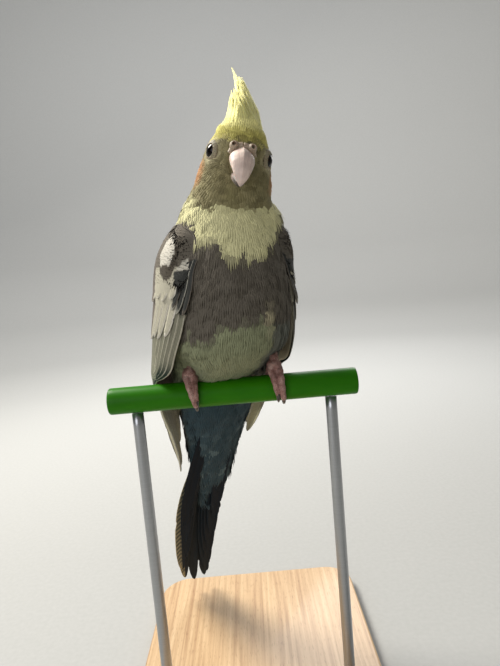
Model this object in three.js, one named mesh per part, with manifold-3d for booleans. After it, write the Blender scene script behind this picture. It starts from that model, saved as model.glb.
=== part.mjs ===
// A cockatiel sitting on a short cut length of round perch, held up by a plain display stand.
// Sizes are millimetres and angles are degrees, with +Z up. The perch runs along X and the bird faces -Y.
// The bird is first drawn straight and level, with the perch's axis as its origin, and posed() puts each
// of its points in place.
import * as THREE from 'three';
import { mergeVertices } from 'three/addons/utils/BufferGeometryUtils.js';
import Module from 'manifold-3d';

const wasm = await Module();
wasm.setup();

// Clearance between neighbouring pieces, and the smallest detail that a join leaves
const GAP = 0.3;
const SMALLEST = 0.02;

// The stand: a flat base, and two rods that carry the perch high enough for the tail to hang clear
const BASE = { width: 126, depth: 156, thick: 8, corner: 16, bevel: 1.2, cornerSteps: 5 };
const PERCH = { radius: 6, length: 112, y: -28, z: 162, bevel: 0.9, sides: 24 };
const ROD = { radius: 2.6, x: 44, collarRadius: 5.6, collarHeight: 3.5, sides: 16 };

// How the bird holds itself. The body turns to its left and the rump a little more, and the head turns
// back, tilts and nods over a neck that leans to its left.
const POSE = { body: 20, rump: 3, look: -10, tilt: 12.5, nod: 12, lean: 2.4, x: 1 };
const NECK_PIVOT = new THREE.Vector3(0, -8, 80);
const NECK_BEND = { from: 71, to: 91 };
const RUMP_BEND = { from: -15, to: 30 };

// Level sections of the straight bird, from the tail cone up to the crown
const TRUNK = [
  { z: -75, y: 60, half: 6.5, front: 3.2, back: 2.6 },
  { z: -60, y: 51.5, half: 9.5, front: 5.2, back: 3.8 },
  { z: -40, y: 42, half: 13, front: 8.5, back: 5.5 },
  { z: -25, y: 34.5, half: 16, front: 11, back: 8 },
  { z: -12, y: 28.5, half: 19, front: 14.5, back: 11 },
  { z: 0, y: 23, half: 22.5, front: 16, back: 14.5 },
  { z: 6, y: 18.5, half: 24.2, front: 18, back: 18.5 },
  { z: 11, y: 14.5, half: 25.2, front: 23.5, back: 22 },
  { z: 17, y: 12, half: 26.2, front: 31.5, back: 23.4 },
  { z: 25, y: 9, half: 27.6, front: 38, back: 25 },
  { z: 36, y: 6, half: 28.3, front: 38.5, back: 26 },
  { z: 48, y: 3, half: 28, front: 36, back: 25.5 },
  { z: 58, y: 0, half: 26.4, front: 31.5, back: 23.4 },
  { z: 66, y: -3, half: 23.8, front: 27, back: 20.6 },
  { z: 73, y: -5.5, half: 20.9, front: 23, back: 17.8 },
  { z: 80, y: -8, half: 18.5, front: 19.4, back: 15.8 },
  { z: 87, y: -10, half: 16.6, front: 16.8, back: 14.7 },
  { z: 94, y: -11.5, half: 15, front: 15, back: 14.5 },
  { z: 101, y: -12, half: 13.6, front: 14.5, back: 14.2 },
  { z: 107, y: -12, half: 12, front: 12.8, back: 13.2 },
];
const CROWN = { z: 107, height: 9, steps: 4 };
const TRUNK_SIDES = 28;
const LEVELS = {
  torso: [-12, -6, 0, 3, 6, 9, 12, 17, 24, 32, 41, 50, 58, 64, 70],
  neck: [70, 75, 80, 85],
  head: [85, 89, 93, 97, 101, 104, 107],
  tail: [-75, -60, -43, -28, -12],
};

// Level sections of the surface that a folded wing lies on
const WING_GUIDE = [
  { z: -70, y: 57, half: 15, front: 10, back: 7 },
  { z: -45, y: 43, half: 19.5, front: 14, back: 10 },
  { z: -25, y: 33, half: 23, front: 18, back: 12.5 },
  { z: -10, y: 26, half: 25.6, front: 22, back: 16.5 },
  { z: 5, y: 19, half: 28, front: 28, back: 21 },
  { z: 20, y: 11.5, half: 29.6, front: 35, back: 26 },
  { z: 36, y: 6.5, half: 30, front: 38, back: 26.8 },
  { z: 50, y: 3, half: 29.2, front: 35.8, back: 26 },
  { z: 62, y: -0.8, half: 26.8, front: 30.5, back: 23.2 },
  { z: 70, y: -4, half: 23.8, front: 26, back: 20 },
  { z: 76, y: -6.5, half: 21, front: 22.5, back: 18 },
];

// A folded wing on that surface. At each level edge and back are the places of its leading edge and of
// its edge over the back, in degrees from the middle of the back. The core stands out by core and is at
// most depth thick under the surface, and the feathers nearer the back are piled higher by pile.
const WING_SPAN = [
  { z: -62, edge: 68, back: 42, core: 0, pile: 6, depth: 0.7 },
  { z: -40, edge: 78, back: 26, core: 0, pile: 5, depth: 0.7 },
  { z: -22, edge: 82, back: 20, core: 0, pile: 4, depth: 0.7 },
  { z: -8, edge: 76, back: 16, core: 0.1, pile: 3.4, depth: 0.9 },
  { z: 2, edge: 76, back: 15, core: 0.4, pile: 3.1, depth: 1.3 },
  { z: 9, edge: 88, back: 15, core: 0.6, pile: 2.9, depth: 1.6 },
  { z: 22, edge: 124, back: 17, core: 1, pile: 2.4, depth: 2.4 },
  { z: 36, edge: 132, back: 22, core: 1.6, pile: 1.9, depth: 3 },
  { z: 48, edge: 132, back: 28, core: 2.1, pile: 1.5, depth: 3 },
  { z: 58, edge: 128, back: 38, core: 2.2, pile: 1, depth: 3 },
  { z: 66, edge: 116, back: 54, core: 1.7, pile: 0.5, depth: 3 },
  { z: 73, edge: 98, back: 74, core: 0.8, pile: 0, depth: 2 },
];
const WING_CORE = { levels: [73, 68, 61, 52, 43, 33, 24, 17, 11, 3, -6], columns: 7, clear: 0.85 };

// Outlines of the feathers: how wide each is at shares of its length
const OUTLINES = {
  quill: [[0, 0.85], [0.35, 1], [0.72, 0.95], [0.93, 0.6], [1, 0.14]],
  covert: [[0, 0.8], [0.5, 1], [0.84, 0.8], [1, 0.28]],
  plume: [[0, 0.5], [0.4, 1], [0.75, 0.7], [1, 0.1]],
};

// The tiers of a folded wing. In each pair the first value is for the feather at the leading edge and the
// second for the one over the back, except that lift goes from the root to the tip. Quills tilt, so that
// each lies on the one before it, and coverts lie side by side like tiles.
const WING_TIERS = [
  { name: 'quills', shape: 'quill', count: 9, across: [0.08, 0.93], root: [18, 34], tip: [-58, -20],
    width: [8.5, 9.5], lift: [0, 0], tilt: 0.6, thick: 0.5 },
  { name: 'greater coverts', shape: 'covert', count: 5, across: [0.1, 0.91], root: [46, 50],
    tip: [14, 16], width: [10.8, 10.2], lift: [1.1, 1.5], tilt: 0, thick: 0.5 },
  { name: 'alula', shape: 'covert', count: 2, across: [0.03, 0.15], root: [50, 50], tip: [27, 32],
    width: [6.4, 6.4], lift: [1.5, 2.4], tilt: 0, thick: 0.5 },
  { name: 'median coverts', shape: 'covert', count: 5, across: [0.15, 0.87], root: [60, 61],
    tip: [36, 38], width: [9.8, 9], lift: [1.6, 2.3], tilt: 0, thick: 0.5 },
  { name: 'lesser coverts', shape: 'covert', count: 4, across: [0.16, 0.84], root: [68, 68],
    tip: [50, 52], width: [9.4, 8.4], lift: [1.1, 2.9], tilt: 0, thick: 0.5 },
];

// Tail: pairs of feathers from the long middle pair out to the short side pair, seen along the tail's axis
const TAIL = { y: 26, z: -14, slope: 60.5, pairs: 6, step: 0.85, thick: 0.5, buried: 6, bow: -6 };
const TAIL_PAIRS = { length: [150, 82], width: [8.6, 7.6], curve: 1.4 };
const TAIL_SPREAD = { root: [1.8, 6.2], tip: [3.6, 12] };

// Coverts over the root of the tail. Their places are degrees from the middle of the back.
const TAIL_TIERS = [
  { name: 'long under coverts', shape: 'covert', count: 2, around: [195, 165], root: [-42, -42],
    tip: [-82, -82], width: [5.6, 5.6], lift: [-0.8, 0.7], thick: 0.6 },
  { name: 'middle under coverts', shape: 'covert', count: 3, around: [214, 146], root: [-26, -26],
    tip: [-60, -60], width: [6.8, 6.8], lift: [-0.8, 1], thick: 0.6 },
  { name: 'short under coverts', shape: 'covert', count: 4, around: [232, 128], root: [-14, -14],
    tip: [-42, -42], width: [8, 8], lift: [-0.8, 1.4], thick: 0.6 },
  { name: 'upper coverts', shape: 'covert', count: 3, around: [-40, 40], root: [-16, -16],
    tip: [-50, -50], width: [8, 8], lift: [-0.8, 0.9], thick: 0.6 },
];

// Crest: a thin pad over the forehead and crown that carries its feathers, the longest at the back.
// fore is how far forward a row starts and aside how far to the side, in degrees from the crown's top.
const CREST_PAD = { fore: [78, -34], aside: 34, rows: 5, columns: 5, under: 0.6, edge: 0.95, root: 1.2,
  top: 1.6 };
const CREST_ROWS = [
  { fore: 70, aside: [-19, 19], length: 8, rise: 74, bend: 8 },
  { fore: 54, aside: [-26, 0, 26], length: 11, rise: 64, bend: 12 },
  { fore: 38, aside: [-14, 14], length: 14, rise: 56, bend: 15 },
  { fore: 22, aside: [-18, 0, 18], length: 16, rise: 50, bend: 18 },
  { fore: 6, aside: [-9, 9], length: 19.5, rise: 45, bend: 20 },
  { fore: -10, aside: [-6, 5], length: 24, rise: 41, bend: 22 },
];
const CREST_VANE = { width: 4.4, thick: 0.5, curl: 0.55, gather: 0.45, lean: -5, longest: 24 };

// Head parts
const EYE = { radius: 3.6, x: 9.3, y: -18.2, z: 100.4, segments: 12 };
const LID = { radius: 3.1, tube: 0.62, out: 1.9, turns: 14, sides: 5 };
const UPPER_BILL = [
  { ridge: [-23.5, 103.2], edge: [-23.5, 95], half: 5.1 },
  { ridge: [-29, 103.4], edge: [-28, 94.6], half: 5.1 },
  { ridge: [-32.8, 102.3], edge: [-31.2, 94], half: 4.9 },
  { ridge: [-35.8, 99.8], edge: [-33.4, 93.2], half: 4.2 },
  { ridge: [-37.6, 96.4], edge: [-34.9, 92.2], half: 3.2 },
  { ridge: [-38.1, 92.9], edge: [-35.9, 91], half: 1.9 },
  { ridge: [-37.3, 89.4], edge: [-36.7, 89.3], half: 0.35 },
];
const LOWER_BILL = [
  { ridge: [-23.5, 94.6], edge: [-23.5, 89], half: 4.3 },
  { ridge: [-27.2, 94.4], edge: [-27.4, 88.8], half: 4.2 },
  { ridge: [-29.8, 93.9], edge: [-30.3, 89.2], half: 3.7 },
  { ridge: [-31.7, 93.1], edge: [-32.2, 90.2], half: 2.7 },
  { ridge: [-33, 92.2], edge: [-33.3, 91.5], half: 1.1 },
];
const BILL_SIDES = 12;
const CERE = { half: 5.6, low: 96.5, top: 103.6, y: -28, tube: 1.6, steps: 8, bulb: 2.1, bulbX: 3.7 };
const NOSTRIL = { radius: 0.75, depth: 1.5, sides: 8 };

// Legs and feet. Toe angles go round the perch from its top, forward or back, each toe tapers, and all
// of them point a little to the bird's left, as its body does.
const LEG = { footX: [-17.6, 18.6], hipX: 12.5, hipY: 13, hipZ: 17, ankle: 2.3, shank: 2, thigh: 5.2,
  sides: 12 };
const PALM = { halfX: 3.9, halfY: 4.4, halfZ: 2.2 };
const TOES = [
  { name: 'front_outer', way: -1, base: 2.4, end: 1.9, from: 10, to: 146, thick: 2, thin: 1.35 },
  { name: 'front_inner', way: -1, base: -1.9, end: -1.1, from: 10, to: 120, thick: 1.95, thin: 1.35 },
  { name: 'back_outer', way: 1, base: 2, end: 3.6, from: 10, to: 114, thick: 1.9, thin: 1.3 },
  { name: 'back_inner', way: 1, base: -1.7, end: -3.4, from: 10, to: 84, thick: 1.75, thin: 1.25 },
];
const FOOT_ROOM = { angles: [-80, -40, 0, 45, 90, 132], radius: 5.6, sides: 10 };
const TOE = { rows: 7, sides: 7, slant: 1.6 };
const CLAW = { arc: 42, rows: 4, sides: 6, root: 1.05, tip: 0.18, arch: 0.5 };

const X_AXIS = new THREE.Vector3(1, 0, 0);
const Y_AXIS = new THREE.Vector3(0, 1, 0);
const Z_AXIS = new THREE.Vector3(0, 0, 1);
const V = (x, y, z) => new THREE.Vector3(x, y, z);
const rad = THREE.MathUtils.degToRad;
const lerp = THREE.MathUtils.lerp;
const clamp = THREE.MathUtils.clamp;
const smoothstep = THREE.MathUtils.smoothstep;
const eachOf = (count, make) => Array.from({ length: count }, (_, i) => make(i));

// A point of the straight bird, in place on the perch. share is how much of the head's turn it takes.
function posed(p, share = 0) {
  const q = p.clone().sub(NECK_PIVOT);
  q.applyAxisAngle(X_AXIS, rad(POSE.nod * share));
  q.applyAxisAngle(Y_AXIS, rad(POSE.tilt * share));
  q.applyAxisAngle(Z_AXIS, rad(POSE.look * share));
  const rump = 1 - smoothstep(p.z, RUMP_BEND.from, RUMP_BEND.to);
  q.add(NECK_PIVOT).applyAxisAngle(Z_AXIS, rad(POSE.body + POSE.rump * rump));
  return q.add(V(POSE.x + POSE.lean * share, PERCH.y, PERCH.z));
}

const headShare = (z) => smoothstep(z, NECK_BEND.from, NECK_BEND.to);

// The value of one named size at height z, on a smooth curve through the rows
function sizeAt(rows, key, z) {
  const last = rows.length - 1;
  let i = rows.findIndex((r) => r.z >= z);
  if (i < 0) i = last;
  i = clamp(i, 1, last);
  const slope = (k) => {
    const a = rows[Math.max(k - 1, 0)];
    const b = rows[Math.min(k + 1, last)];
    return (b[key] - a[key]) / (b.z - a.z);
  };
  const [p, q] = [rows[i - 1], rows[i]];
  const span = q.z - p.z;
  const t = clamp((z - p.z) / span, 0, 1);
  const [t2, t3] = [t * t, t * t * t];
  return (2 * t3 - 3 * t2 + 1) * p[key] + (t3 - 2 * t2 + t) * span * slope(i - 1)
    + (3 * t2 - 2 * t3) * q[key] + (t3 - t2) * span * slope(i);
}

function sectionAt(rows, z) {
  const keys = Object.keys(rows[0]).filter((k) => k !== 'z');
  return Object.fromEntries(keys.map((k) => [k, sizeAt(rows, k, z)]));
}

// A point of the straight bird's surface at height z and an angle from the middle of the back, pushed out
function surfaceAt(rows, z, angle, out = 0) {
  const s = sectionAt(rows, z);
  const [sin, cos] = [Math.sin(rad(angle)), Math.cos(rad(angle))];
  const depth = cos > 0 ? s.back : s.front;
  const normal = V(sin / s.half, cos / depth, 0).normalize();
  return V(s.half * sin, s.y + depth * cos, z).addScaledVector(normal, out);
}

// How many degrees round a level section a width takes
function turnOf(rows, z, angle, width) {
  const s = sectionAt(rows, z);
  const [sin, cos] = [Math.sin(rad(angle)), Math.cos(rad(angle))];
  const depth = cos > 0 ? s.back : s.front;
  return THREE.MathUtils.radToDeg(width / Math.hypot(s.half * cos, depth * sin));
}

function geometryOf(points, faces) {
  const g = new THREE.BufferGeometry();
  g.setAttribute('position', new THREE.Float32BufferAttribute(points.flatMap((p) => p.toArray()), 3));
  g.setIndex(faces.flat());
  return g;
}

// A closed three.js geometry as a manifold solid, turned the right way out
function solidOf(geometry) {
  const bare = geometry.clone();
  bare.deleteAttribute('normal');
  bare.deleteAttribute('uv');
  const merged = mergeVertices(bare, 1e-4);
  const at = merged.attributes.position;
  const triVerts = new Uint32Array(merged.index.array);
  const [a, b, c] = [V(0, 0, 0), V(0, 0, 0), V(0, 0, 0)];
  let volume = 0;
  for (let i = 0; i < triVerts.length; i += 3) {
    a.fromBufferAttribute(at, triVerts[i]);
    b.fromBufferAttribute(at, triVerts[i + 1]);
    c.fromBufferAttribute(at, triVerts[i + 2]);
    volume += a.dot(b.cross(c));
  }
  if (volume < 0) {
    for (let i = 0; i < triVerts.length; i += 3) {
      [triVerts[i + 1], triVerts[i + 2]] = [triVerts[i + 2], triVerts[i + 1]];
    }
  }
  const vertProperties = new Float32Array(at.array);
  return new wasm.Manifold(new wasm.Mesh({ numProp: 3, vertProperties, triVerts }));
}

const joined = (solids) => solids.reduce((sum, s) => sum.add(s));

// The largest closed body of a solid, as a named mesh
function meshOf(name, solid, material) {
  const bodies = solid.simplify(SMALLEST).decompose().sort((p, q) => q.volume() - p.volume());
  const mesh = bodies[0].getMesh();
  const g = new THREE.BufferGeometry();
  g.setAttribute('position', new THREE.BufferAttribute(new Float32Array(mesh.vertProperties), 3));
  g.setIndex(new THREE.BufferAttribute(new Uint32Array(mesh.triVerts), 1));
  g.computeVertexNormals();
  const made = new THREE.Mesh(g, material);
  made.name = name;
  return made;
}

// A closed skin over rings of points, each end closed by a fan
function loft(rings) {
  const n = rings[0].length;
  const points = rings.flat();
  const faces = [];
  for (let k = 0; k + 1 < rings.length; k += 1) {
    for (let i = 0; i < n; i += 1) {
      const j = (i + 1) % n;
      const [a, b, c, d] = [k * n + i, k * n + j, (k + 1) * n + j, (k + 1) * n + i];
      faces.push([a, b, c], [a, c, d]);
    }
  }
  [0, rings.length - 1].forEach((k, end) => {
    const centre = rings[k].reduce((sum, p) => sum.add(p), V(0, 0, 0)).divideScalar(n);
    const hub = points.push(centre) - 1;
    for (let i = 0; i < n; i += 1) {
      const j = (i + 1) % n;
      faces.push(end ? [hub, k * n + i, k * n + j] : [hub, k * n + j, k * n + i]);
    }
  });
  return solidOf(geometryOf(points, faces));
}

// A closed sheet between two grids of points, both split into triangles the same way
function sheet(under, over) {
  const [rows, columns] = [under.length, under[0].length];
  const points = [...under.flat(), ...over.flat()];
  const lift = rows * columns;
  const at = (k, j) => k * columns + j;
  const faces = [];
  for (let k = 0; k + 1 < rows; k += 1) {
    for (let j = 0; j + 1 < columns; j += 1) {
      const [a, b, c, d] = [at(k, j), at(k, j + 1), at(k + 1, j + 1), at(k + 1, j)];
      faces.push([a, c, b], [a, d, c], [a + lift, b + lift, c + lift], [a + lift, c + lift, d + lift]);
    }
  }
  const rim = [];
  for (let j = 0; j + 1 < columns; j += 1) rim.push([at(0, j), at(0, j + 1)]);
  for (let k = 0; k + 1 < rows; k += 1) rim.push([at(k, columns - 1), at(k + 1, columns - 1)]);
  for (let j = columns - 1; j > 0; j -= 1) rim.push([at(rows - 1, j), at(rows - 1, j - 1)]);
  for (let k = rows - 1; k > 0; k -= 1) rim.push([at(k, 0), at(k - 1, 0)]);
  rim.forEach(([a, b]) => faces.push([a, b, b + lift], [a, b + lift, a + lift]));
  return solidOf(geometryOf(points, faces));
}

// One feather. place(t, side, out) gives a point of it from root to tip and from side -1 to 1, and width
// is the share of its full width there.
function vane(shape, thick, place) {
  const row = (t, width, out) => [-1, 0, 1].map((side) => place(t, side * width, out));
  const layer = (out) => OUTLINES[shape].map(([t, width]) => row(t, width, out));
  return sheet(layer(0), layer(thick));
}

// One feather of a tier that lies on a folded wing
function wingVane(tier, i, mirror) {
  const k = i / (tier.count - 1);
  const u = lerp(...tier.across, k);
  const width = lerp(...tier.width, k);
  return vane(tier.shape, tier.thick, (t, side, out) => {
    const z = lerp(lerp(...tier.root, k), lerp(...tier.tip, k), t);
    const span = sectionAt(WING_SPAN, z);
    const middle = lerp(span.edge, span.back, u);
    const angle = middle + turnOf(WING_GUIDE, z, middle, side * width / 2);
    const lift = lerp(...tier.lift, t) + span.pile * u + tier.tilt * side + out;
    const p = surfaceAt(WING_GUIDE, z, angle, lift);
    return posed(V(p.x * mirror, p.y, p.z));
  });
}

// One covert over the root of the tail
function tailCovert(tier, i) {
  const k = i / (tier.count - 1);
  const middle = lerp(...tier.around, k);
  return vane(tier.shape, tier.thick, (t, side, out) => {
    const z = lerp(lerp(...tier.root, k), lerp(...tier.tip, k), t);
    const angle = middle + turnOf(TRUNK, z, middle, side * tier.width[0] / 2);
    return posed(surfaceAt(TRUNK, z, angle, lerp(...tier.lift, t) + out));
  });
}

// A level ring of the trunk, pushed out by an offset and drawn in by a share for the domed crown
function trunkRing(z, level, shrink, out) {
  const s = sectionAt(TRUNK, level);
  return eachOf(TRUNK_SIDES, (i) => {
    const angle = (i / TRUNK_SIDES) * 2 * Math.PI;
    const [sin, cos] = [Math.sin(angle), Math.cos(angle)];
    const depth = ((cos > 0 ? s.back : s.front) + out) * shrink;
    return posed(V((s.half + out) * shrink * sin, s.y + depth * cos, z), headShare(z));
  });
}

// The rings of one length of the trunk, with half the clearance taken off at each cut
function trunkRings(levels, out = 0) {
  const last = levels.length - 1;
  return levels.map((level, i) => {
    const z = level + (i === 0 ? GAP / 2 : 0) - (i === last ? GAP / 2 : 0);
    return trunkRing(z, z, 1, out);
  });
}

function headSolid(out = 0) {
  const rings = trunkRings([...LEVELS.head.slice(0, -1), CROWN.z + GAP / 2], out);
  for (let i = 1; i <= CROWN.steps; i += 1) {
    const angle = rad(i * 86 / CROWN.steps);
    rings.push(trunkRing(CROWN.z + (CROWN.height + out) * Math.sin(angle), CROWN.z, Math.cos(angle), out));
  }
  return loft(rings);
}

// A ball with its own half sizes at a place of the head
function headBall(radius, place, segments) {
  const g = new THREE.SphereGeometry(radius, segments, Math.round(segments * 0.7));
  const at = g.attributes.position;
  const p = V(0, 0, 0);
  for (let i = 0; i < at.count; i += 1) {
    p.fromBufferAttribute(at, i).add(place);
    at.setXYZ(i, ...posed(p, 1).toArray());
  }
  return solidOf(g);
}

// A round tube of changing thickness along points that are already in place
function tube(path, radii, sides) {
  const rings = path.map((p, i) => {
    const along = path[Math.min(i + 1, path.length - 1)].clone().sub(path[Math.max(i - 1, 0)]).normalize();
    const guide = Math.abs(along.x) < 0.9 ? X_AXIS : Y_AXIS;
    const u = guide.clone().addScaledVector(along, -guide.dot(along)).normalize();
    const v = along.clone().cross(u);
    return eachOf(sides, (j) => {
      const a = (j / sides) * 2 * Math.PI;
      const arm = u.clone().multiplyScalar(Math.cos(a)).addScaledVector(v, Math.sin(a));
      return p.clone().addScaledVector(arm, radii[i]);
    });
  });
  return loft(rings);
}

// One half of the bill: sections between its ridge and its cutting edge, all in the head's middle plane
function bill(rows, out = 0) {
  const rings = rows.map(({ ridge, edge, half }, k) => {
    const middle = [(ridge[0] + edge[0]) / 2, (ridge[1] + edge[1]) / 2];
    const reach = Math.hypot(ridge[0] - edge[0], ridge[1] - edge[1]) / 2;
    const [uy, uz] = [(ridge[0] - middle[0]) / reach, (ridge[1] - middle[1]) / reach];
    return eachOf(BILL_SIDES, (i) => {
      const a = (i / BILL_SIDES) * 2 * Math.PI;
      const [sin, cos] = [Math.sin(a), Math.cos(a)];
      const along = (reach + out) * cos;
      const keel = cos > 0 ? 1 - 0.32 * cos * cos : 1;
      const back = k === 0 ? out : 0;
      return posed(V((half + out) * keel * sin, middle[0] + uy * along + back, middle[1] + uz * along), 1);
    });
  });
  return loft(rings);
}

// The soft band over the root of the bill, with a nostril in each swelling
function cereSolid(head) {
  const path = [];
  const radii = [];
  for (let i = 0; i <= CERE.steps; i += 1) {
    const a = Math.PI * (i / CERE.steps);
    const z = lerp(CERE.low, CERE.top, Math.sin(a) ** 0.75);
    path.push(posed(V(-CERE.half * Math.cos(a), CERE.y + 0.6 * Math.sin(a), z), 1));
    radii.push(CERE.tube * (0.7 + 0.3 * Math.sin(a)));
  }
  const sides = [-1, 1];
  const bulbs = sides.map((s) => headBall(CERE.bulb, V(s * CERE.bulbX, CERE.y + 0.5, CERE.top - 0.3), 9));
  const pits = sides.map((s) => {
    const mouth = V(s * (CERE.bulbX + 0.5), CERE.y - CERE.bulb, CERE.top + 0.6);
    const floor = mouth.clone().add(V(-s * 0.5, NOSTRIL.depth + 0.9, -0.4));
    return tube([posed(mouth, 1), posed(floor, 1)], [NOSTRIL.radius * 1.3, NOSTRIL.radius], NOSTRIL.sides);
  });
  const band = joined([tube(path, radii, 8), ...bulbs]);
  return band.subtract(joined(pits)).subtract(head).subtract(bill(UPPER_BILL, GAP));
}

// The lid stands round each eye as a low ring
function lidRing(side) {
  const outward = V(side * 0.87, -0.49, 0.04).normalize();
  const centre = V(side * EYE.x, EYE.y, EYE.z).addScaledVector(outward, LID.out);
  const u = V(0, 0, 1).addScaledVector(outward, -outward.z).normalize();
  const v = outward.clone().cross(u);
  const points = [];
  const faces = [];
  for (let i = 0; i < LID.turns; i += 1) {
    const a = (i / LID.turns) * 2 * Math.PI;
    const arm = u.clone().multiplyScalar(Math.cos(a)).addScaledVector(v, Math.sin(a));
    for (let j = 0; j < LID.sides; j += 1) {
      const b = (j / LID.sides) * 2 * Math.PI;
      const p = centre.clone().addScaledVector(arm, LID.radius + LID.tube * Math.cos(b));
      points.push(posed(p.addScaledVector(outward, LID.tube * Math.sin(b)), 1));
      const [i2, j2] = [(i + 1) % LID.turns, (j + 1) % LID.sides];
      const [a1, a2] = [i * LID.sides, i2 * LID.sides];
      faces.push([a1 + j, a2 + j, a2 + j2], [a1 + j, a2 + j2, a1 + j2]);
    }
  }
  return solidOf(geometryOf(points, faces));
}

// A place over the crown, by how far forward and how far aside it is, pushed out
function crownAt(fore, aside, out) {
  const s = sectionAt(TRUNK, CROWN.z);
  const n = V(Math.sin(rad(aside)), -Math.sin(rad(fore)) * Math.cos(rad(aside)),
    Math.cos(rad(fore)) * Math.cos(rad(aside)));
  const reach = V(s.half, fore > 0 ? s.front : s.back, CROWN.height);
  const normal = n.clone().divide(reach).normalize();
  return n.multiply(reach).add(V(0, s.y, CROWN.z)).addScaledVector(normal, out);
}

function crestVane(row, aside) {
  const root = crownAt(row.fore, aside, CREST_PAD.root);
  const half = CREST_VANE.width / 2;
  return vane('plume', CREST_VANE.thick, (t, side, out) => {
    const angle = rad(row.rise + row.bend * (t - 0.5));
    const run = row.length * t;
    const up = V(0, -Math.sin(angle), Math.cos(angle));
    const lean = CREST_VANE.lean * t * t * row.length / CREST_VANE.longest;
    const x = root.x * (1 - CREST_VANE.gather * t) + lean;
    const middle = V(x, root.y + run * Math.cos(angle), root.z + run * Math.sin(angle));
    middle.addScaledVector(up, out - CREST_VANE.curl * half * Math.abs(side));
    return posed(middle.add(V(side * half, 0, 0)), 1);
  });
}

function crestSolid() {
  const { rows, columns } = CREST_PAD;
  const place = (k, j, upper) => {
    const [s, c] = [k / (rows - 1), 2 * j / (columns - 1) - 1];
    const rim = k === 0 || j === 0 || k === rows - 1 || j === columns - 1;
    const rise = rim ? CREST_PAD.edge : CREST_PAD.top;
    const narrow = Math.sqrt(1 - 0.55 * Math.abs(2 * s - 1) ** 2.5);
    const [fore, aside] = [lerp(...CREST_PAD.fore, s), c * CREST_PAD.aside * narrow];
    return posed(crownAt(fore, aside, upper ? rise : CREST_PAD.under), 1);
  };
  const row = (k, upper) => eachOf(columns, (j) => place(k, j, upper));
  const layer = (upper) => eachOf(rows, (k) => row(k, upper));
  const vanes = CREST_ROWS.flatMap((row) => row.aside.map((aside) => crestVane(row, aside)));
  return joined([sheet(layer(false), layer(true)), ...vanes]);
}

// A folded wing: a core that follows the side of the body, and tiers of feathers over it. Its edge gives
// way to the perch.
function wingSolid(mirror) {
  const layer = (outer) => WING_CORE.levels.map((z) => {
    const span = sectionAt(WING_SPAN, z);
    return eachOf(WING_CORE.columns, (j) => {
      const u = j / (WING_CORE.columns - 1);
      const angle = lerp(span.edge - 3, span.back + 3, u);
      const rim = j === 0 || j === WING_CORE.columns - 1 ? 0.5 : 1;
      const centre = V(0, sectionAt(WING_GUIDE, z).y, z);
      const under = surfaceAt(WING_GUIDE, z, angle, -span.depth);
      const body = surfaceAt(TRUNK, z, angle, WING_CORE.clear);
      const inner = under.distanceTo(centre) > body.distanceTo(centre) ? under : body;
      const over = surfaceAt(WING_GUIDE, z, angle, (span.core + span.pile * u) * rim);
      const p = outer ? over : inner;
      return posed(V(p.x * mirror, p.y, p.z));
    });
  });
  const vanes = WING_TIERS.flatMap((tier) => eachOf(tier.count, (i) => wingVane(tier, i, mirror)));
  const whole = joined([sheet(layer(false), layer(true)), ...vanes]);
  return whole.subtract(perchRod(PERCH.radius + GAP, PERCH.length));
}

// One long tail feather, laid along the tail's axis at its own height in the stack. The right one of the
// middle pair lies under the left one, and every other pair under both.
function tailQuill(pair, side) {
  const k = pair / (TAIL.pairs - 1);
  const length = lerp(...TAIL_PAIRS.length, k ** TAIL_PAIRS.curve);
  const half = lerp(...TAIL_PAIRS.width, k) / 2;
  const height = -TAIL.step * (pair > 0 || side < 0 ? pair + 1 : 0);
  const along = V(0, Math.cos(rad(TAIL.slope)), -Math.sin(rad(TAIL.slope)));
  const up = V(0, Math.sin(rad(TAIL.slope)), Math.cos(rad(TAIL.slope)));
  return vane('quill', TAIL.thick, (t, edge, out) => {
    const run = lerp(TAIL.buried, length, t);
    const share = run / TAIL_PAIRS.length[0];
    const aside = side * lerp(lerp(...TAIL_SPREAD.root, k), lerp(...TAIL_SPREAD.tip, k), share);
    const bow = TAIL.bow * Math.sin(Math.PI * share);
    const p = V(aside + bow + edge * half, TAIL.y, TAIL.z).addScaledVector(along, run);
    return posed(p.addScaledVector(up, height + out));
  });
}

function tailSolid() {
  const cone = loft(trunkRings(LEVELS.tail));
  const quills = [];
  for (let pair = 0; pair < TAIL.pairs; pair += 1) quills.push(tailQuill(pair, -1), tailQuill(pair, 1));
  const coverts = TAIL_TIERS.flatMap((tier) => eachOf(tier.count, (i) => tailCovert(tier, i)));
  return joined([cone, ...quills, ...coverts]);
}

// A cylinder along the perch's axis
function perchRod(radius, length) {
  const g = new THREE.CylinderGeometry(radius, radius, length, PERCH.sides);
  g.rotateZ(Math.PI / 2).translate(0, PERCH.y, PERCH.z);
  return solidOf(g);
}

// A place beside the perch: an angle round it from its top, and a height over its surface
function overPerch(x, way, angle, height) {
  const reach = PERCH.radius + height;
  return V(x, PERCH.y + way * reach * Math.sin(rad(angle)), PERCH.z + reach * Math.cos(rad(angle)));
}

// How far along X a toe has come at a share of its length
function toeX(footX, side, toe, t) {
  const slant = toe.way < 0 ? TOE.slant * t : 0;
  return footX + side * lerp(toe.base, toe.end, t) + slant;
}

function toeTube(footX, side, toe) {
  const path = [];
  const radii = [];
  for (let i = 0; i < TOE.rows; i += 1) {
    const t = i / (TOE.rows - 1);
    const radius = lerp(toe.thick, toe.thin, t);
    path.push(overPerch(toeX(footX, side, toe, t), toe.way, lerp(toe.from, toe.to, t), GAP + radius));
    radii.push(radius);
  }
  return tube(path, radii, TOE.sides);
}

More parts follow.
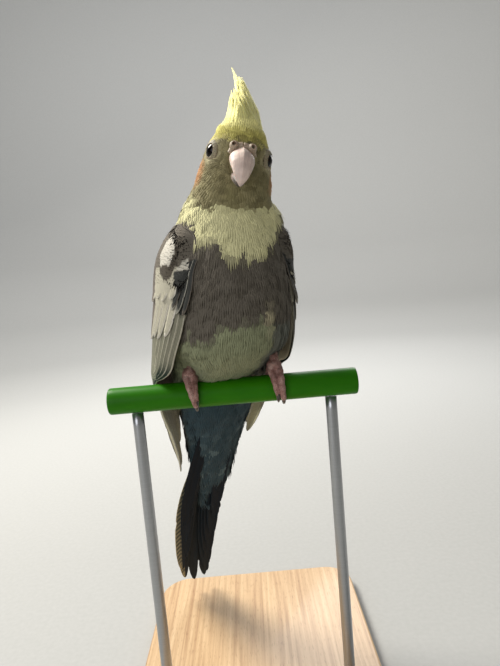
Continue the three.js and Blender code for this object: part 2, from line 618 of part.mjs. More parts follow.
// The pad of the foot lies on the top of the perch
function palm(footX, out) {
  const g = new THREE.SphereGeometry(1, 12, 8);
  g.scale(PALM.halfX + out, PALM.halfY + out, PALM.halfZ + out);
  g.translate(footX, PERCH.y, PERCH.z + PERCH.radius + GAP + PALM.halfZ);
  return solidOf(g);
}

function footSolid(footX, side) {
  return joined([palm(footX, 0), ...TOES.map((toe) => toeTube(footX, side, toe))]);
}

function clawSolid(footX, side, toe) {
  const start = toe.to + THREE.MathUtils.radToDeg(GAP / (PERCH.radius + GAP + toe.thin));
  const path = [];
  const radii = [];
  for (let i = 0; i < CLAW.rows; i += 1) {
    const t = i / (CLAW.rows - 1);
    const height = GAP + lerp(toe.thin, CLAW.root / 2, t) + CLAW.arch * Math.sin(Math.PI * t);
    path.push(overPerch(toeX(footX, side, toe, 1), toe.way, start + CLAW.arc * t, height));
    radii.push(lerp(CLAW.root, CLAW.tip, t));
  }
  return tube(path, radii, CLAW.sides);
}

// The short shank and the feathered thigh, from the pad of the foot up into the belly
function legSolid(footX, side, out = 0) {
  const foot = overPerch(footX, 1, 0, 2 * GAP + 2 * PALM.halfZ);
  const shank = foot.clone().add(V(0, 0, LEG.shank));
  const hip = posed(V(side * LEG.hipX, LEG.hipY, LEG.hipZ));
  const rise = hip.clone().sub(shank).normalize();
  foot.z -= out;
  const path = [foot, shank, shank.clone().lerp(hip, 0.7), hip.addScaledVector(rise, out)];
  const radii = [LEG.ankle, LEG.ankle * 1.05, LEG.thigh * 0.85, LEG.thigh].map((r) => r + out);
  return tube(path, radii, LEG.sides);
}

// The room that the belly leaves for a foot: the pad and the roots of the toes
function footRoom(footX) {
  const path = FOOT_ROOM.angles.map((angle) => overPerch(footX, 1, angle, GAP + PALM.halfZ));
  return tube(path, path.map(() => FOOT_ROOM.radius), FOOT_ROOM.sides);
}

function roundedSlab({ width, depth, corner, thick, bevel, cornerSteps }) {
  const [w, d, r] = [width / 2 - bevel, depth / 2 - bevel, corner];
  const outline = new THREE.Shape();
  outline.moveTo(-w + r, -d).lineTo(w - r, -d).absarc(w - r, -d + r, r, -Math.PI / 2, 0);
  outline.lineTo(w, d - r).absarc(w - r, d - r, r, 0, Math.PI / 2);
  outline.lineTo(-w + r, d).absarc(-w + r, d - r, r, Math.PI / 2, Math.PI);
  outline.lineTo(-w, -d + r).absarc(-w + r, -d + r, r, Math.PI, Math.PI * 1.5);
  const g = new THREE.ExtrudeGeometry(outline, {
    depth: thick - 2 * bevel,
    bevelSize: bevel,
    bevelThickness: bevel,
    bevelSegments: 1,
    curveSegments: cornerSteps,
  });
  return solidOf(g.translate(0, 0, bevel));
}

// A turned piece from its half outline of [radius, height] points
function turned(outline, sides) {
  const g = new THREE.LatheGeometry(outline.map(([r, h]) => new THREE.Vector2(r, h)), sides);
  return g.rotateX(Math.PI / 2);
}

function perchSolid() {
  const [r, h, b] = [PERCH.radius, PERCH.length / 2, PERCH.bevel];
  const g = turned([[0, -h], [r - b, -h], [r, -h + b], [r, h - b], [r - b, h], [0, h]], PERCH.sides);
  return solidOf(g.rotateY(Math.PI / 2).translate(0, PERCH.y, PERCH.z));
}

// A rod stands on the base in a small collar, and its top is hollowed to cradle the perch
function rodSolid(side) {
  const foot = BASE.thick + GAP;
  const [r, c, h] = [ROD.radius, ROD.collarRadius, ROD.collarHeight];
  const collar = [[0, foot], [c, foot], [c, foot + h - 1], [c - 1, foot + h]];
  const shaft = [[r, foot + h], [r, PERCH.z], [0, PERCH.z]];
  const g = turned([...collar, ...shaft], ROD.sides).translate(side * ROD.x, PERCH.y, 0);
  return solidOf(g).subtract(perchRod(PERCH.radius + GAP, PERCH.length + 2));
}

function finish(color, roughness, metalness = 0) {
  return new THREE.MeshStandardMaterial({ color, roughness, metalness });
}

const FINISHES = {
  greyPlumage: finish(0x7b736b, 0.85),
  yellowPlumage: finish(0xe2d98a, 0.85),
  crest: finish(0xefe27a, 0.8),
  wing: finish(0xd8d2bb, 0.8),
  tail: finish(0x55605f, 0.8),
  bill: finish(0xc9b3ad, 0.45),
  cere: finish(0xa8968f, 0.7),
  skin: finish(0xb08a86, 0.65),
  claw: finish(0x4a4644, 0.4),
  eye: finish(0x120c0b, 0.05),
  perch: finish(0x3f8f1c, 0.4),
  base: finish(0xd9d6cf, 0.6),
  rod: finish(0x9a9c9e, 0.3, 1),
};

const group = new THREE.Group();
const add = (name, solid, material) => group.add(meshOf(name, solid, material));
const SIDES = [['right', -1], ['left', 1]];

// Feet, claws and legs, and the room that they and the perch take out of the belly
const bellyRoom = [perchRod(PERCH.radius + GAP, PERCH.length)];
SIDES.forEach(([word, side], i) => {
  const footX = LEG.footX[i];
  add(`foot_${word}`, footSolid(footX, side), FINISHES.skin);
  TOES.forEach((toe) => add(`claw_${word}_${toe.name}`, clawSolid(footX, side, toe), FINISHES.claw));
  add(`leg_${word}`, legSolid(footX, side), FINISHES.skin);
  bellyRoom.push(legSolid(footX, side, GAP), footRoom(footX));
});

// Torso, neck and head
add('torso', loft(trunkRings(LEVELS.torso)).subtract(joined(bellyRoom)), FINISHES.greyPlumage);
add('neck', loft(trunkRings(LEVELS.neck)), FINISHES.yellowPlumage);
const eyePlace = (side) => V(side * EYE.x, EYE.y, EYE.z);
const eyeRoom = joined(SIDES.map(([, side]) => headBall(EYE.radius + GAP, eyePlace(side), EYE.segments)));
const lids = joined(SIDES.map(([, side]) => lidRing(side)));
const billRoom = joined([bill(UPPER_BILL, GAP), bill(LOWER_BILL, GAP)]);
add('head', headSolid().add(lids).subtract(eyeRoom).subtract(billRoom), FINISHES.greyPlumage);
SIDES.forEach(([word, side]) => {
  add(`eye_${word}`, headBall(EYE.radius, eyePlace(side), EYE.segments), FINISHES.eye);
});
add('bill_upper', bill(UPPER_BILL), FINISHES.bill);
add('bill_lower', bill(LOWER_BILL).subtract(bill(UPPER_BILL, GAP)), FINISHES.bill);
add('cere', cereSolid(headSolid(GAP)), FINISHES.cere);
add('crest', crestSolid(), FINISHES.crest);

// Wings and tail
SIDES.forEach(([word, side]) => add(`wing_${word}`, wingSolid(side), FINISHES.wing));
add('tail', tailSolid(), FINISHES.tail);

// Perch and stand
add('perch', perchSolid(), FINISHES.perch);
add('stand_base', roundedSlab(BASE), FINISHES.base);
SIDES.forEach(([word, side]) => add(`stand_rod_${word}`, rodSolid(side), FINISHES.rod));

export default group;
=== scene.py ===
import bmesh
import bpy
import numpy as np
from mathutils import Euler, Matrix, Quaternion, Vector


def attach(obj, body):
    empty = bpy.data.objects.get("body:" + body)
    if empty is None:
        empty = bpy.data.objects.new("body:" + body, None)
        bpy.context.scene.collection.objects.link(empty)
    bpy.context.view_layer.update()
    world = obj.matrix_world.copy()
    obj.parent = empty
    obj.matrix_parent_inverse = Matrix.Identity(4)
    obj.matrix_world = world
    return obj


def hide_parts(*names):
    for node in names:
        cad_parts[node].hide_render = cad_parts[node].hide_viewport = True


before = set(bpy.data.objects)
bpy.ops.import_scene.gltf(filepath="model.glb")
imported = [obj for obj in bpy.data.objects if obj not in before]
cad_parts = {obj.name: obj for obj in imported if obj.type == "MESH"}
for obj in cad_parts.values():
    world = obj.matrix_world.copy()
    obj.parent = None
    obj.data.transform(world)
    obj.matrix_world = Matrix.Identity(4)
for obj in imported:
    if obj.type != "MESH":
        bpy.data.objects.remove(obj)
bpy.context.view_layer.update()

# Display base: a slab of pale beech with rounded corners and an eased edge, sanded and given a thin
# satin lacquer. It lies flat on the floor and carries both rods.
MM = 0.001
BASE_SIZE = (126.0, 156.0, 8.0)
BASE_CORNER = 16.0
BASE_EDGE = [(1.2, 0.0), (0.35, 0.3), (0.0, 1.0), (0.0, 6.6), (0.25, 7.3), (0.8, 7.8), (1.5, 8.0)]
BASE_CORNER_STEPS = 14


def linear(code):
    """An sRGB hex colour as linear red, green, blue and a full alpha."""
    parts = np.array([int(code[i:i + 2], 16) for i in (1, 3, 5)]) / 255
    curved = np.where(parts <= 0.04045, parts / 12.92, ((parts + 0.055) / 1.055) ** 2.4)
    return (*curved, 1.0)


def add_node(tree, kind, inputs=None, **settings):
    """A node with its settings. An input is given a value, or is linked where it is another node's socket."""
    made = tree.nodes.new(kind)
    for key, value in settings.items():
        setattr(made, key, value)
    for key, value in (inputs or {}).items():
        if isinstance(value, bpy.types.NodeSocket):
            tree.links.new(value, made.inputs[key])
        else:
            made.inputs[key].default_value = value
    return made


def new_finish(name, **shader_values):
    """An empty material: its tree, and its shader with constant values on the shader's own sockets."""
    made = bpy.data.materials.new(name)
    made.use_nodes = True
    tree = made.node_tree
    shader = tree.nodes["Principled BSDF"]
    for key, value in shader_values.items():
        shader.inputs[key.replace("_", " ")].default_value = value
    return made, tree, shader


def ramp(tree, fac, stops):
    """A colour ramp through pairs of place and hex colour."""
    made = add_node(tree, "ShaderNodeValToRGB", {"Fac": fac})
    line = made.color_ramp
    while len(line.elements) < len(stops):
        line.elements.new(0.5)
    for element, (place, code) in zip(line.elements, stops):
        element.position = place
        element.color = linear(code)
    return made.outputs["Color"]


def grain_place(tree, lengths):
    """Object coordinates in units of the given lengths in millimetres along X, Y and Z."""
    place = add_node(tree, "ShaderNodeTexCoord").outputs["Object"]
    return add_node(tree, "ShaderNodeMapping", {"Vector": place, "Scale": [1000 / n for n in lengths]}).outputs[0]


def set_bump(tree, shader, height, strength, distance_mm):
    made = add_node(tree, "ShaderNodeBump", {"Height": height, "Strength": strength, "Distance": distance_mm * MM})
    tree.links.new(made.outputs["Normal"], shader.inputs["Normal"])


def new_piece(name, points, faces, finish, slot, nodes=()):
    """A smooth closed piece from points in millimetres. It rides on the one body of the part."""
    mesh = bpy.data.meshes.new(name)
    mesh.from_pydata((np.asarray(points, float) * MM).tolist(), [], [list(map(int, f)) for f in faces])
    shape = bmesh.new()
    shape.from_mesh(mesh)
    bmesh.ops.recalc_face_normals(shape, faces=shape.faces)
    shape.to_mesh(mesh)
    shape.free()
    mesh.shade_smooth()
    piece = bpy.data.objects.new(name, mesh)
    bpy.context.scene.collection.objects.link(piece)
    piece.data.materials.append(finish)
    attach(piece, "root")
    if nodes:
        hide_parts(*nodes)
    return piece


def grid_faces(rows, columns, closed=True, start=0):
    """The quads between rows of points, each row a closed ring where closed is set."""
    k, j = np.meshgrid(np.arange(rows - 1), np.arange(columns if closed else columns - 1), indexing="ij")
    a, b = start + k * columns + j, start + k * columns + (j + 1) % columns
    return np.stack([a, b, b + columns, a + columns], -1).reshape(-1, 4)


def loft(rings):
    """The points and faces of a closed skin over rings of equal count, with a fan at each end."""
    rings = np.asarray(rings, float)
    rows, columns = rings.shape[:2]
    points = np.concatenate([rings.reshape(-1, 3), rings[[0, -1]].mean(1)])
    faces = grid_faces(rows, columns).tolist()
    for hub, row in ((rows * columns, 0), (rows * columns + 1, rows - 1)):
        faces += [[hub, row * columns + (j + 1) % columns, row * columns + j] for j in range(columns)]
    return points, faces


def joined(parts):
    """Several sets of points and faces as one."""
    points, faces, count = [], [], 0
    for p, f in parts:
        points.append(p)
        faces += [[count + i for i in face] for face in f]
        count += len(p)
    return np.concatenate(points), faces


# Beech under satin lacquer: a pale warm wood, with straight fine grain and short darker flecks
beech, tree, shader = new_finish("lacquered beech", Roughness=0.38, Coat_Weight=0.25, Coat_Roughness=0.25)
grain = add_node(tree, "ShaderNodeTexNoise", {"Vector": grain_place(tree, (2.2, 90, 8)), "Scale": 1.0,
    "Detail": 6.0, "Roughness": 0.6, "Distortion": 0.4})
fleck = add_node(tree, "ShaderNodeTexNoise", {"Vector": grain_place(tree, (0.55, 5, 2)), "Scale": 1.0,
    "Detail": 2.0})
wood = ramp(tree, grain.outputs["Fac"], [(0.3, "#A88562"), (0.5, "#C2A27C"), (0.7, "#D2B48E")])
flecks = ramp(tree, fleck.outputs["Fac"], [(0.3, "#8E6B4A"), (0.42, "#FFFFFF")])
mixed = add_node(tree, "ShaderNodeMix", {"Factor": 0.35, 6: wood, 7: flecks}, data_type="RGBA",
    blend_type="MULTIPLY")
tree.links.new(mixed.outputs[2], shader.inputs["Base Color"])
set_bump(tree, shader, grain.outputs["Fac"], 0.15, 0.15)


def slab_ring(inset, height):
    """One level outline of the slab, drawn in by inset."""
    half_x, half_y = BASE_SIZE[0] / 2 - inset, BASE_SIZE[1] / 2 - inset
    turn = np.linspace(0, np.pi / 2, BASE_CORNER_STEPS)
    r = BASE_CORNER
    corners = []
    for k, (sx, sy) in enumerate([(1, 1), (-1, 1), (-1, -1), (1, -1)]):
        a = turn + k * np.pi / 2
        corners.append(np.stack([sx * (half_x - r) + r * np.cos(a), sy * (half_y - r) + r * np.sin(a),
            np.full(a.shape, height)], -1))
    return np.concatenate(corners)


new_piece("display_base", *loft([slab_ring(*step) for step in BASE_EDGE]), beech, "stand_base", ["stand_base"])

# Rods: two turned rods of brushed stainless steel, each in a small chamfered collar that is screwed to
# the base from below. The top of each is milled hollow, and the perch lies in it.
PERCH_AT = np.array([0.0, -28.0, 162.0])
PERCH_RADIUS = 6.0
PERCH_HALF = 56.0
GAP = 0.3
ROD_X = 44.0
ROD_RADIUS = 2.6
ROD_SIDES = 48
ROD_PROFILE = [(4.9, 8.3), (5.45, 8.4), (5.6, 8.65), (5.6, 10.6), (5.4, 10.95), (4.7, 11.65), (4.2, 11.8),
    (3.0, 11.8), (2.66, 11.95), (2.6, 12.3)]
ROD_LEVELS = np.linspace(20, 150, 8)
steel, tree, shader = new_finish("brushed stainless steel", Metallic=1.0, Roughness=0.32)
lines = add_node(tree, "ShaderNodeTexNoise", {"Vector": grain_place(tree, (30, 30, 0.35)), "Scale": 1.0,
    "Detail": 3.0})
tree.links.new(ramp(tree, lines.outputs["Fac"], [(0.3, "#A3A5A7"), (0.7, "#ABADAF")]), shader.inputs["Base Color"])
set_bump(tree, shader, lines.outputs["Fac"], 0.06, 0.02)
turn = np.linspace(0, 2 * np.pi, ROD_SIDES, endpoint=False)
for word, side in (("right", -1), ("left", 1)):
    profile = ROD_PROFILE + [(ROD_RADIUS, h) for h in ROD_LEVELS]
    rings = [np.stack([r * np.cos(turn), r * np.sin(turn), np.full(turn.shape, h)], -1) for r, h in profile]
    for r in (ROD_RADIUS, ROD_RADIUS - 0.25, 1.2):
        across = r * np.sin(turn)
        top = PERCH_AT[2] - np.sqrt((PERCH_RADIUS + GAP) ** 2 - across ** 2)
        rings.append(np.stack([r * np.cos(turn), across, top - (0.12 if r == ROD_RADIUS else 0)], -1))
    rings = np.array(rings) + [side * ROD_X, PERCH_AT[1], 0]
    new_piece(f"rod_{word}", *loft(rings), steel, "stand_rod", [f"stand_rod_{word}"])

# Perch: a short length cut from a round bar of green moulded polypropylene. It is smooth with a satin
# gloss, a little clouded inside, and lightly scuffed by claws along its top.
PERCH_SIDES = 72
PERCH_STRAIGHT, PERCH_RINGS = 50.0, 21
PERCH_PROFILE = [(3.2, 0.35), (5.0, 0.1), (5.3, 0.05), (5.65, 0.16), (5.88, 0.4), (6.0, 0.9), (6.0, 3.0)]
polypropylene, tree, shader = new_finish("green moulded polypropylene", Roughness=0.45, IOR=1.45,
    Specular_IOR_Level=0.14, Subsurface_Weight=0.08, Subsurface_Scale=0.002)
cloud = add_node(tree, "ShaderNodeTexNoise", {"Vector": grain_place(tree, (22, 9, 9)), "Scale": 1.0,
    "Detail": 3.0})
tree.links.new(ramp(tree, cloud.outputs["Fac"], [(0.3, "#256803"), (0.7, "#2F7604")]),
    shader.inputs["Base Color"])
scuff = add_node(tree, "ShaderNodeTexNoise", {"Vector": grain_place(tree, (0.9, 4, 4)), "Scale": 1.0,
    "Detail": 5.0, "Roughness": 0.7})
dull = add_node(tree, "ShaderNodeMapRange", {"Value": scuff.outputs["Fac"], "From Min": 0.4, "From Max": 0.75,
    "To Min": 0.36, "To Max": 0.5})
tree.links.new(dull.outputs[0], shader.inputs["Roughness"])
set_bump(tree, shader, scuff.outputs["Fac"], 0.12, 0.03)
turn = np.linspace(0, 2 * np.pi, PERCH_SIDES, endpoint=False)
half = [(r, PERCH_HALF - inset) for r, inset in PERCH_PROFILE]
along = [(PERCH_RADIUS, x) for x in np.linspace(PERCH_STRAIGHT, -PERCH_STRAIGHT, PERCH_RINGS)]
profile = half + along + [(r, -x) for r, x in reversed(half)]
rings = [np.stack([np.full(turn.shape, x), r * np.cos(turn), r * np.sin(turn)], -1) for r, x in profile]
new_piece("perch_bar", *loft(np.array(rings) + PERCH_AT), polypropylene, "perch", ["perch"])

# Feet: each has two toes forward and two back round the perch, of dry dusky pink skin in small rough
# scales, with broader scutes across the top of each toe and soft pads beneath.
FOOT_X = {"right": -18.7, "left": 19.4}
TOES = [("front_outer", -1, 1.8, 1.8, -8, 124, 2.15, 1.15), ("front_inner", -1, -1.75, -1.75, -8, 106, 2.1, 1.15),
    ("back_outer", 1, 2.0, 3.6, 10, 114, 1.9, 1.3), ("back_inner", 1, -1.7, -3.4, 10, 84, 1.75, 1.25)]
TOE_SLANT = {"right": {"front_outer": 4.2, "front_inner": 0.9}, "left": {"front_outer": 1.1, "front_inner": 2.3}}
TOE_ROWS = 44
TOE_SIDES = 22
SCUTE_STEP = 1.15
PALM_HALF = (3.5, 4.4, 3.6)
BODY_TURN, RUMP_TURN = 20.0, 3.0
HEAD_NOD, HEAD_TILT, HEAD_LOOK = 12.0, 12.5, -12.0
NECK_PIVOT = np.array([0.0, -8.0, 80.0])
NECK_BEND = (71.0, 91.0)
RUMP_BEND = (-15.0, 30.0)
BODY_X, NECK_LEAN = 1.0, 2.4


def smooth(x, low, high):
    t = np.clip((np.asarray(x, float) - low) / (high - low), 0, 1)
    return t * t * (3 - 2 * t)


def turned(points, axis, degrees):
    """Points turned about X, Y or Z through the origin, each by its own angle."""
    i, j = ((1, 2), (2, 0), (0, 1))[axis]
    a = np.radians(degrees)
    made = points.copy()
    made[..., i] = np.cos(a) * points[..., i] - np.sin(a) * points[..., j]
    made[..., j] = np.sin(a) * points[..., i] + np.cos(a) * points[..., j]
    return made


def posed(points, share=None):
    """Points of the straight bird in place on the perch. share is how much of the head's turn they take."""
    points = np.asarray(points, float)
    share = smooth(points[..., 2], *NECK_BEND) if share is None else np.full(points.shape[:-1], float(share))
    made = turned(points - NECK_PIVOT, 0, HEAD_NOD * share)
    made = turned(turned(made, 1, HEAD_TILT * share), 2, HEAD_LOOK * share) + NECK_PIVOT
    rump = 1 - smooth(points[..., 2], *RUMP_BEND)
    made = turned(made, 2, BODY_TURN + RUMP_TURN * rump)
    made[..., 0] += BODY_X + NECK_LEAN * share
    return made + PERCH_AT


def tube(path, radii, sides, scute=None):
    """A closed tube along a path. scute gives a relative height over it from row and angle."""
    path = np.asarray(path, float)
    along = np.gradient(path, axis=0)
    along /= np.linalg.norm(along, axis=1, keepdims=True)
    u = np.array([1.0, 0, 0]) - along * along[:, :1]
    u /= np.linalg.norm(u, axis=1, keepdims=True)
    v = np.cross(along, u)
    a = np.linspace(0, 2 * np.pi, sides, endpoint=False)
    reach = np.asarray(radii, float)[:, None] * np.ones(sides)
    if scute is not None:
        reach = reach * scute(np.arange(len(path))[:, None], a[None])
    around = np.cos(a)[:, None] * u[:, None] + np.sin(a)[:, None] * v[:, None]
    return loft(path[:, None] + reach[..., None] * around)


def over_perch(x, way, angle, height):
    """A place beside the perch at an angle round it from its top and a height over its surface."""
    a = np.radians(angle)
    reach = PERCH_RADIUS + height
    return np.stack([x + 0 * a, PERCH_AT[1] + way * reach * np.sin(a), PERCH_AT[2] + reach * np.cos(a)], -1)


def toe_x(word, toe, t):
    side = -1 if word == "right" else 1
    return FOOT_X[word] + side * (toe[2] + (toe[3] - toe[2]) * t) + TOE_SLANT[word].get(toe[0], 0) * t


def toe_tube(word, toe):
    t = np.linspace(0, 1, TOE_ROWS)
    name, way, _, _, start, end, thick, thin = toe
    length = np.radians(end - start) * (PERCH_RADIUS + thick)
    joints = 0.07 * np.cos(t * length / 4.3 * 2 * np.pi)
    radii = (thick + (thin - thick) * t ** 0.8) * (1 + joints * smooth(t, 0, 0.2))
    path = over_perch(toe_x(word, toe, t), way, start + (end - start) * t, GAP + radii)

    def scute(row, angle):
        outside = np.clip(-np.sin(angle) * way, 0, 1) ** 0.7
        wave = np.abs(np.sin(np.pi * row / (TOE_ROWS - 1) * length / SCUTE_STEP)) ** 0.6
        return 1 + outside * 0.075 * (wave - 0.6)
    return tube(path, radii, TOE_SIDES, scute)


def ball(centre, halves, rows=18, sides=28):
    """A closed rounded form with its own half sizes."""
    a = np.linspace(0.12, np.pi - 0.12, rows)[:, None]
    b = np.linspace(0, 2 * np.pi, sides, endpoint=False)[None]
    unit = np.stack([np.sin(a) * np.cos(b), np.sin(a) * np.sin(b), np.cos(a) + 0 * b], -1)
    return loft(np.asarray(centre) + unit * halves)


def fuse(piece, voxel, passes):
    """Overlapping closed forms made one skin: remeshed at a voxel size in millimetres, then smoothed."""
    fused = piece.modifiers.new("fused", "REMESH")
    fused.mode, fused.voxel_size, fused.use_smooth_shade = "VOXEL", voxel * MM, True
    soft = piece.modifiers.new("softened", "SMOOTH")
    soft.factor, soft.iterations = 0.5, passes
    mesh = bpy.data.meshes.new_from_object(piece.evaluated_get(bpy.context.evaluated_depsgraph_get()))
    piece.modifiers.clear()
    piece.data = mesh
    return mesh

# Scaled skin: dusky pink in raised scales about half a millimetre across, darker in the seams between them as painted
# shade in these creases
foot_skin, tree, shader = new_finish("dry scaled skin", Roughness=0.62, Subsurface_Weight=0.12,
    Subsurface_Scale=0.001, Subsurface_Radius=(1.0, 0.35, 0.25))
cells = add_node(tree, "ShaderNodeTexVoronoi", {"Vector": grain_place(tree, (0.62, 0.5, 0.5)), "Scale": 1.0,
    "Randomness": 0.8}, feature="DISTANCE_TO_EDGE")
blush = add_node(tree, "ShaderNodeTexNoise", {"Vector": grain_place(tree, (3, 3, 3)), "Scale": 1.0})
skin_tone = ramp(tree, blush.outputs["Fac"], [(0.3, "#A0746A"), (0.5, "#CB9B90"), (0.72, "#EDC6B8")])
# painted shade: the seams between the scales are darkened, as the creases lie in shade
crease_shade_tone = ramp(tree, cells.outputs["Distance"], [(0.02, "#87665F"), (0.2, "#FFFFFF")])
mixed = add_node(tree, "ShaderNodeMix", {"Factor": 0.6, 6: skin_tone, 7: crease_shade_tone}, data_type="RGBA",
    blend_type="MULTIPLY")
tree.links.new(mixed.outputs[2], shader.inputs["Base Color"])
raised = add_node(tree, "ShaderNodeMapRange", {"Value": cells.outputs["Distance"], "From Max": 0.22})
set_bump(tree, shader, raised.outputs[0], 1.0, 0.3)
SHANK_RISE = 2.0
SHANK_RADII = [2.6, 2.3, 2.35, 2.9, 3.6]
HIP = (12.5, 13.0, 17.0)
for word, side in (("right", -1), ("left", 1)):
    foot_x = FOOT_X[word]
    parts = [toe_tube(word, toe) for toe in TOES]
    parts.append(ball([foot_x, PERCH_AT[1], PERCH_AT[2] + PERCH_RADIUS + GAP + PALM_HALF[2]], PALM_HALF))
    ankle = over_perch(foot_x, 1, 0.0, 2 * GAP + 2 * PALM_HALF[2])
    shank = ankle + [0, 0, SHANK_RISE]
    hip = posed(np.array([side * HIP[0], HIP[1], HIP[2]]))
    low = ankle - [0, 0, 2.0]
    path = [low, ankle, shank, shank + (hip - shank) * 0.35, shank + (hip - shank) * 0.8]
    parts.append(tube(path, SHANK_RADII, 24))
    foot = new_piece(f"foot_skin_{word}", *joined(parts), foot_skin, "foot_skin", [f"foot_{word}", f"leg_{word}"])
    fuse(foot, 0.22, 2)

# Claws: dark horn, each a curved tapering cone that grows out of its toe and keeps round the perch.
CLAW_ARC = 42.0
CLAW_ROWS = 16
CLAW_BURIED = 6
claw_horn, tree, shader = new_finish("dark claw horn", Roughness=0.33, IOR=1.54, Subsurface_Weight=0.05)
streak = add_node(tree, "ShaderNodeTexNoise", {"Vector": grain_place(tree, (0.5, 2.5, 2.5)), "Scale": 1.0,
    "Detail": 3.0})
tree.links.new(ramp(tree, streak.outputs["Fac"], [(0.3, "#241F1E"), (0.7, "#55493F")]), shader.inputs["Base Color"])
set_bump(tree, shader, streak.outputs["Fac"], 0.2, 0.05)
for word, side in (("right", -1), ("left", 1)):
    parts = []
    for toe in TOES:
        t = np.linspace(0, 1, CLAW_ROWS)
        begin = toe[5] - CLAW_BURIED
        reach = GAP + toe[7] + (0.53 - toe[7]) * t + 0.5 * np.sin(np.pi * t)
        path = over_perch(toe_x(word, toe, 1.0), toe[1], begin + (CLAW_ARC + CLAW_BURIED) * t, reach)
        parts.append(tube(path, 1.02 * (1 - t) ** 0.75 + 0.1, 14))
    new_piece(f"claws_{word}", *joined(parts), claw_horn, "claw", [f"claw_{word}_{toe[0]}" for toe in TOES])

# Skin: one skin covers the tail cone, body, neck and head with no seam. It lies under the feathers by
# the depth of the plumage, and carries the same markings as they do.
TRUNK = np.array([(-75, 60, 6.5, 3.2, 2.6), (-60, 51.5, 9.5, 5.2, 3.8), (-40, 42, 13, 8.5, 5.5),
    (-25, 34.5, 16, 11, 8), (-12, 28.5, 19, 14.5, 11), (0, 23, 22.5, 16, 14.5), (6, 18.5, 24.2, 18, 18.5),
    (11, 14.5, 25.2, 23.5, 22), (17, 12, 26.2, 31.5, 23.4), (25, 9, 27.6, 38, 25), (36, 6, 28.3, 38.5, 26),
    (48, 3, 28, 36, 25.5), (58, 0, 26.4, 31.5, 23.4), (66, -3, 23.8, 27, 20.6), (73, -5.5, 20.9, 23, 17.8),
    (80, -8, 18, 19.4, 15.8), (87, -10, 15.7, 16.8, 14.7), (94, -11.5, 14.3, 15, 14.5),
    (101, -12, 13.2, 14.5, 14.2), (107, -12, 11.7, 12.8, 13.2)], float)
CROWN_Z, CROWN_HEIGHT = 107.0, 9.0
EYE_AT = np.array([9.3, -18.2, 100.4])
EYE_OUT = np.array([0.87, -0.49, 0.04])
BILL_ROOT = np.array([0.0, -26.0, 97.0])
CHEEK_AT = np.array([13.9, -12.5, 91.5])
SKIN_SIDES = 240
SKIN_LEVELS = 210
DOME_STEPS = 20
BROW_AT, LORE_AT = [9.0, -17.5, 106.0], [7.2, -22.6, 99.0]
FULL_Z, FULL_SPREAD, FULL_HEIGHT = 75.5, 7.0, 4.0


def sizes_at(rows, z):
    """Every size of the rows at heights z, on a smooth curve through them."""
    heights, last = rows[:, 0], len(rows) - 1
    i = np.arange(last + 1)
    up, down = np.minimum(i + 1, last), np.maximum(i - 1, 0)
    slopes = (rows[up] - rows[down]) / (heights[up] - heights[down])[:, None]
    z = np.asarray(z, float)
    k = np.clip(np.searchsorted(heights, z), 1, last)
    span = (heights[k] - heights[k - 1])[..., None]
    t = np.clip((z - heights[k - 1])[..., None] / span, 0, 1)
    return ((2 * t ** 3 - 3 * t ** 2 + 1) * rows[k - 1] + (t ** 3 - 2 * t ** 2 + t) * span * slopes[k - 1]
        + (3 * t ** 2 - 2 * t ** 3) * rows[k] + (t ** 3 - t ** 2) * span * slopes[k])


def surface_at(rows, z, angle, out=0.0):
    """A place on the straight bird at height z and an angle from the middle of its back, pushed out."""
    z, angle, out = np.broadcast_arrays(np.asarray(z, float), np.asarray(angle, float), np.asarray(out, float))
    s = sizes_at(rows, z)
    sin, cos = np.sin(np.radians(angle)), np.cos(np.radians(angle))
    depth = np.where(cos > 0, s[..., 4], s[..., 3])
    normal = np.stack([sin / s[..., 2], cos / depth, 0 * z], -1)
    normal /= np.linalg.norm(normal, axis=-1, keepdims=True)
    return np.stack([s[..., 2] * sin, s[..., 1] + depth * cos, z], -1) + normal * out[..., None]


def near(points, centre, radius):
    """1 at a centre and 0 at a radius from it, the same on both sides of the bird."""
    mirrored = np.stack([np.abs(points[..., 0]), points[..., 1], points[..., 2]], -1)
    return 1 - smooth(np.linalg.norm(mirrored - centre, axis=-1), 0, radius)


def ragged(a, b, seed, steps=7):
    """A soft random wave over two coordinates, from -1 to 1."""
    rng = np.random.default_rng(seed)
    total = 0
    for k in range(steps):
        turn = rng.uniform(0, 2 * np.pi)
        rate = 0.35 * 1.55 ** k
        total = total + np.sin(rate * (np.cos(turn) * a + np.sin(turn) * b) + rng.uniform(0, 6.28)) * 0.75 ** k
    return total / 2.4


def coat_depth(straight):
    """How deep the plumage is over each place of the skin."""
    z = straight[..., 2]
    depth = 1.3 + 1.3 * (1 - smooth(z, 70, 94)) - 0.9 * (1 - smooth(z, -60, -5))
    depth = depth - 0.8 * near(straight, EYE_AT + EYE_OUT * 3.2, 7.5) * (z > 90)
    return depth - 0.9 * near(straight, BILL_ROOT, 9.0)


TONES = {"olive face": "#7F7755", "pale face": "#948C68", "dark face": "#4F4935", "throat": "#78724D",
    "forehead": "#C9C06C", "crown": "#EFE79A", "brow": "#7A7040", "eye ring": "#DDD3AC", "cheek": "#B98458",
    "bib": "#D8D3A2",
    "breast": "#635D53", "breast dark": "#5C564C", "belly": "#868A6C", "flank": "#64665D", "back": "#7A7064",
    "rump": "#868070", "vent": "#33454C", "vent light": "#7E9090", "pale tuft": "#B9B08F"}
TONE = {name: np.array(linear(code)) for name, code in TONES.items()}


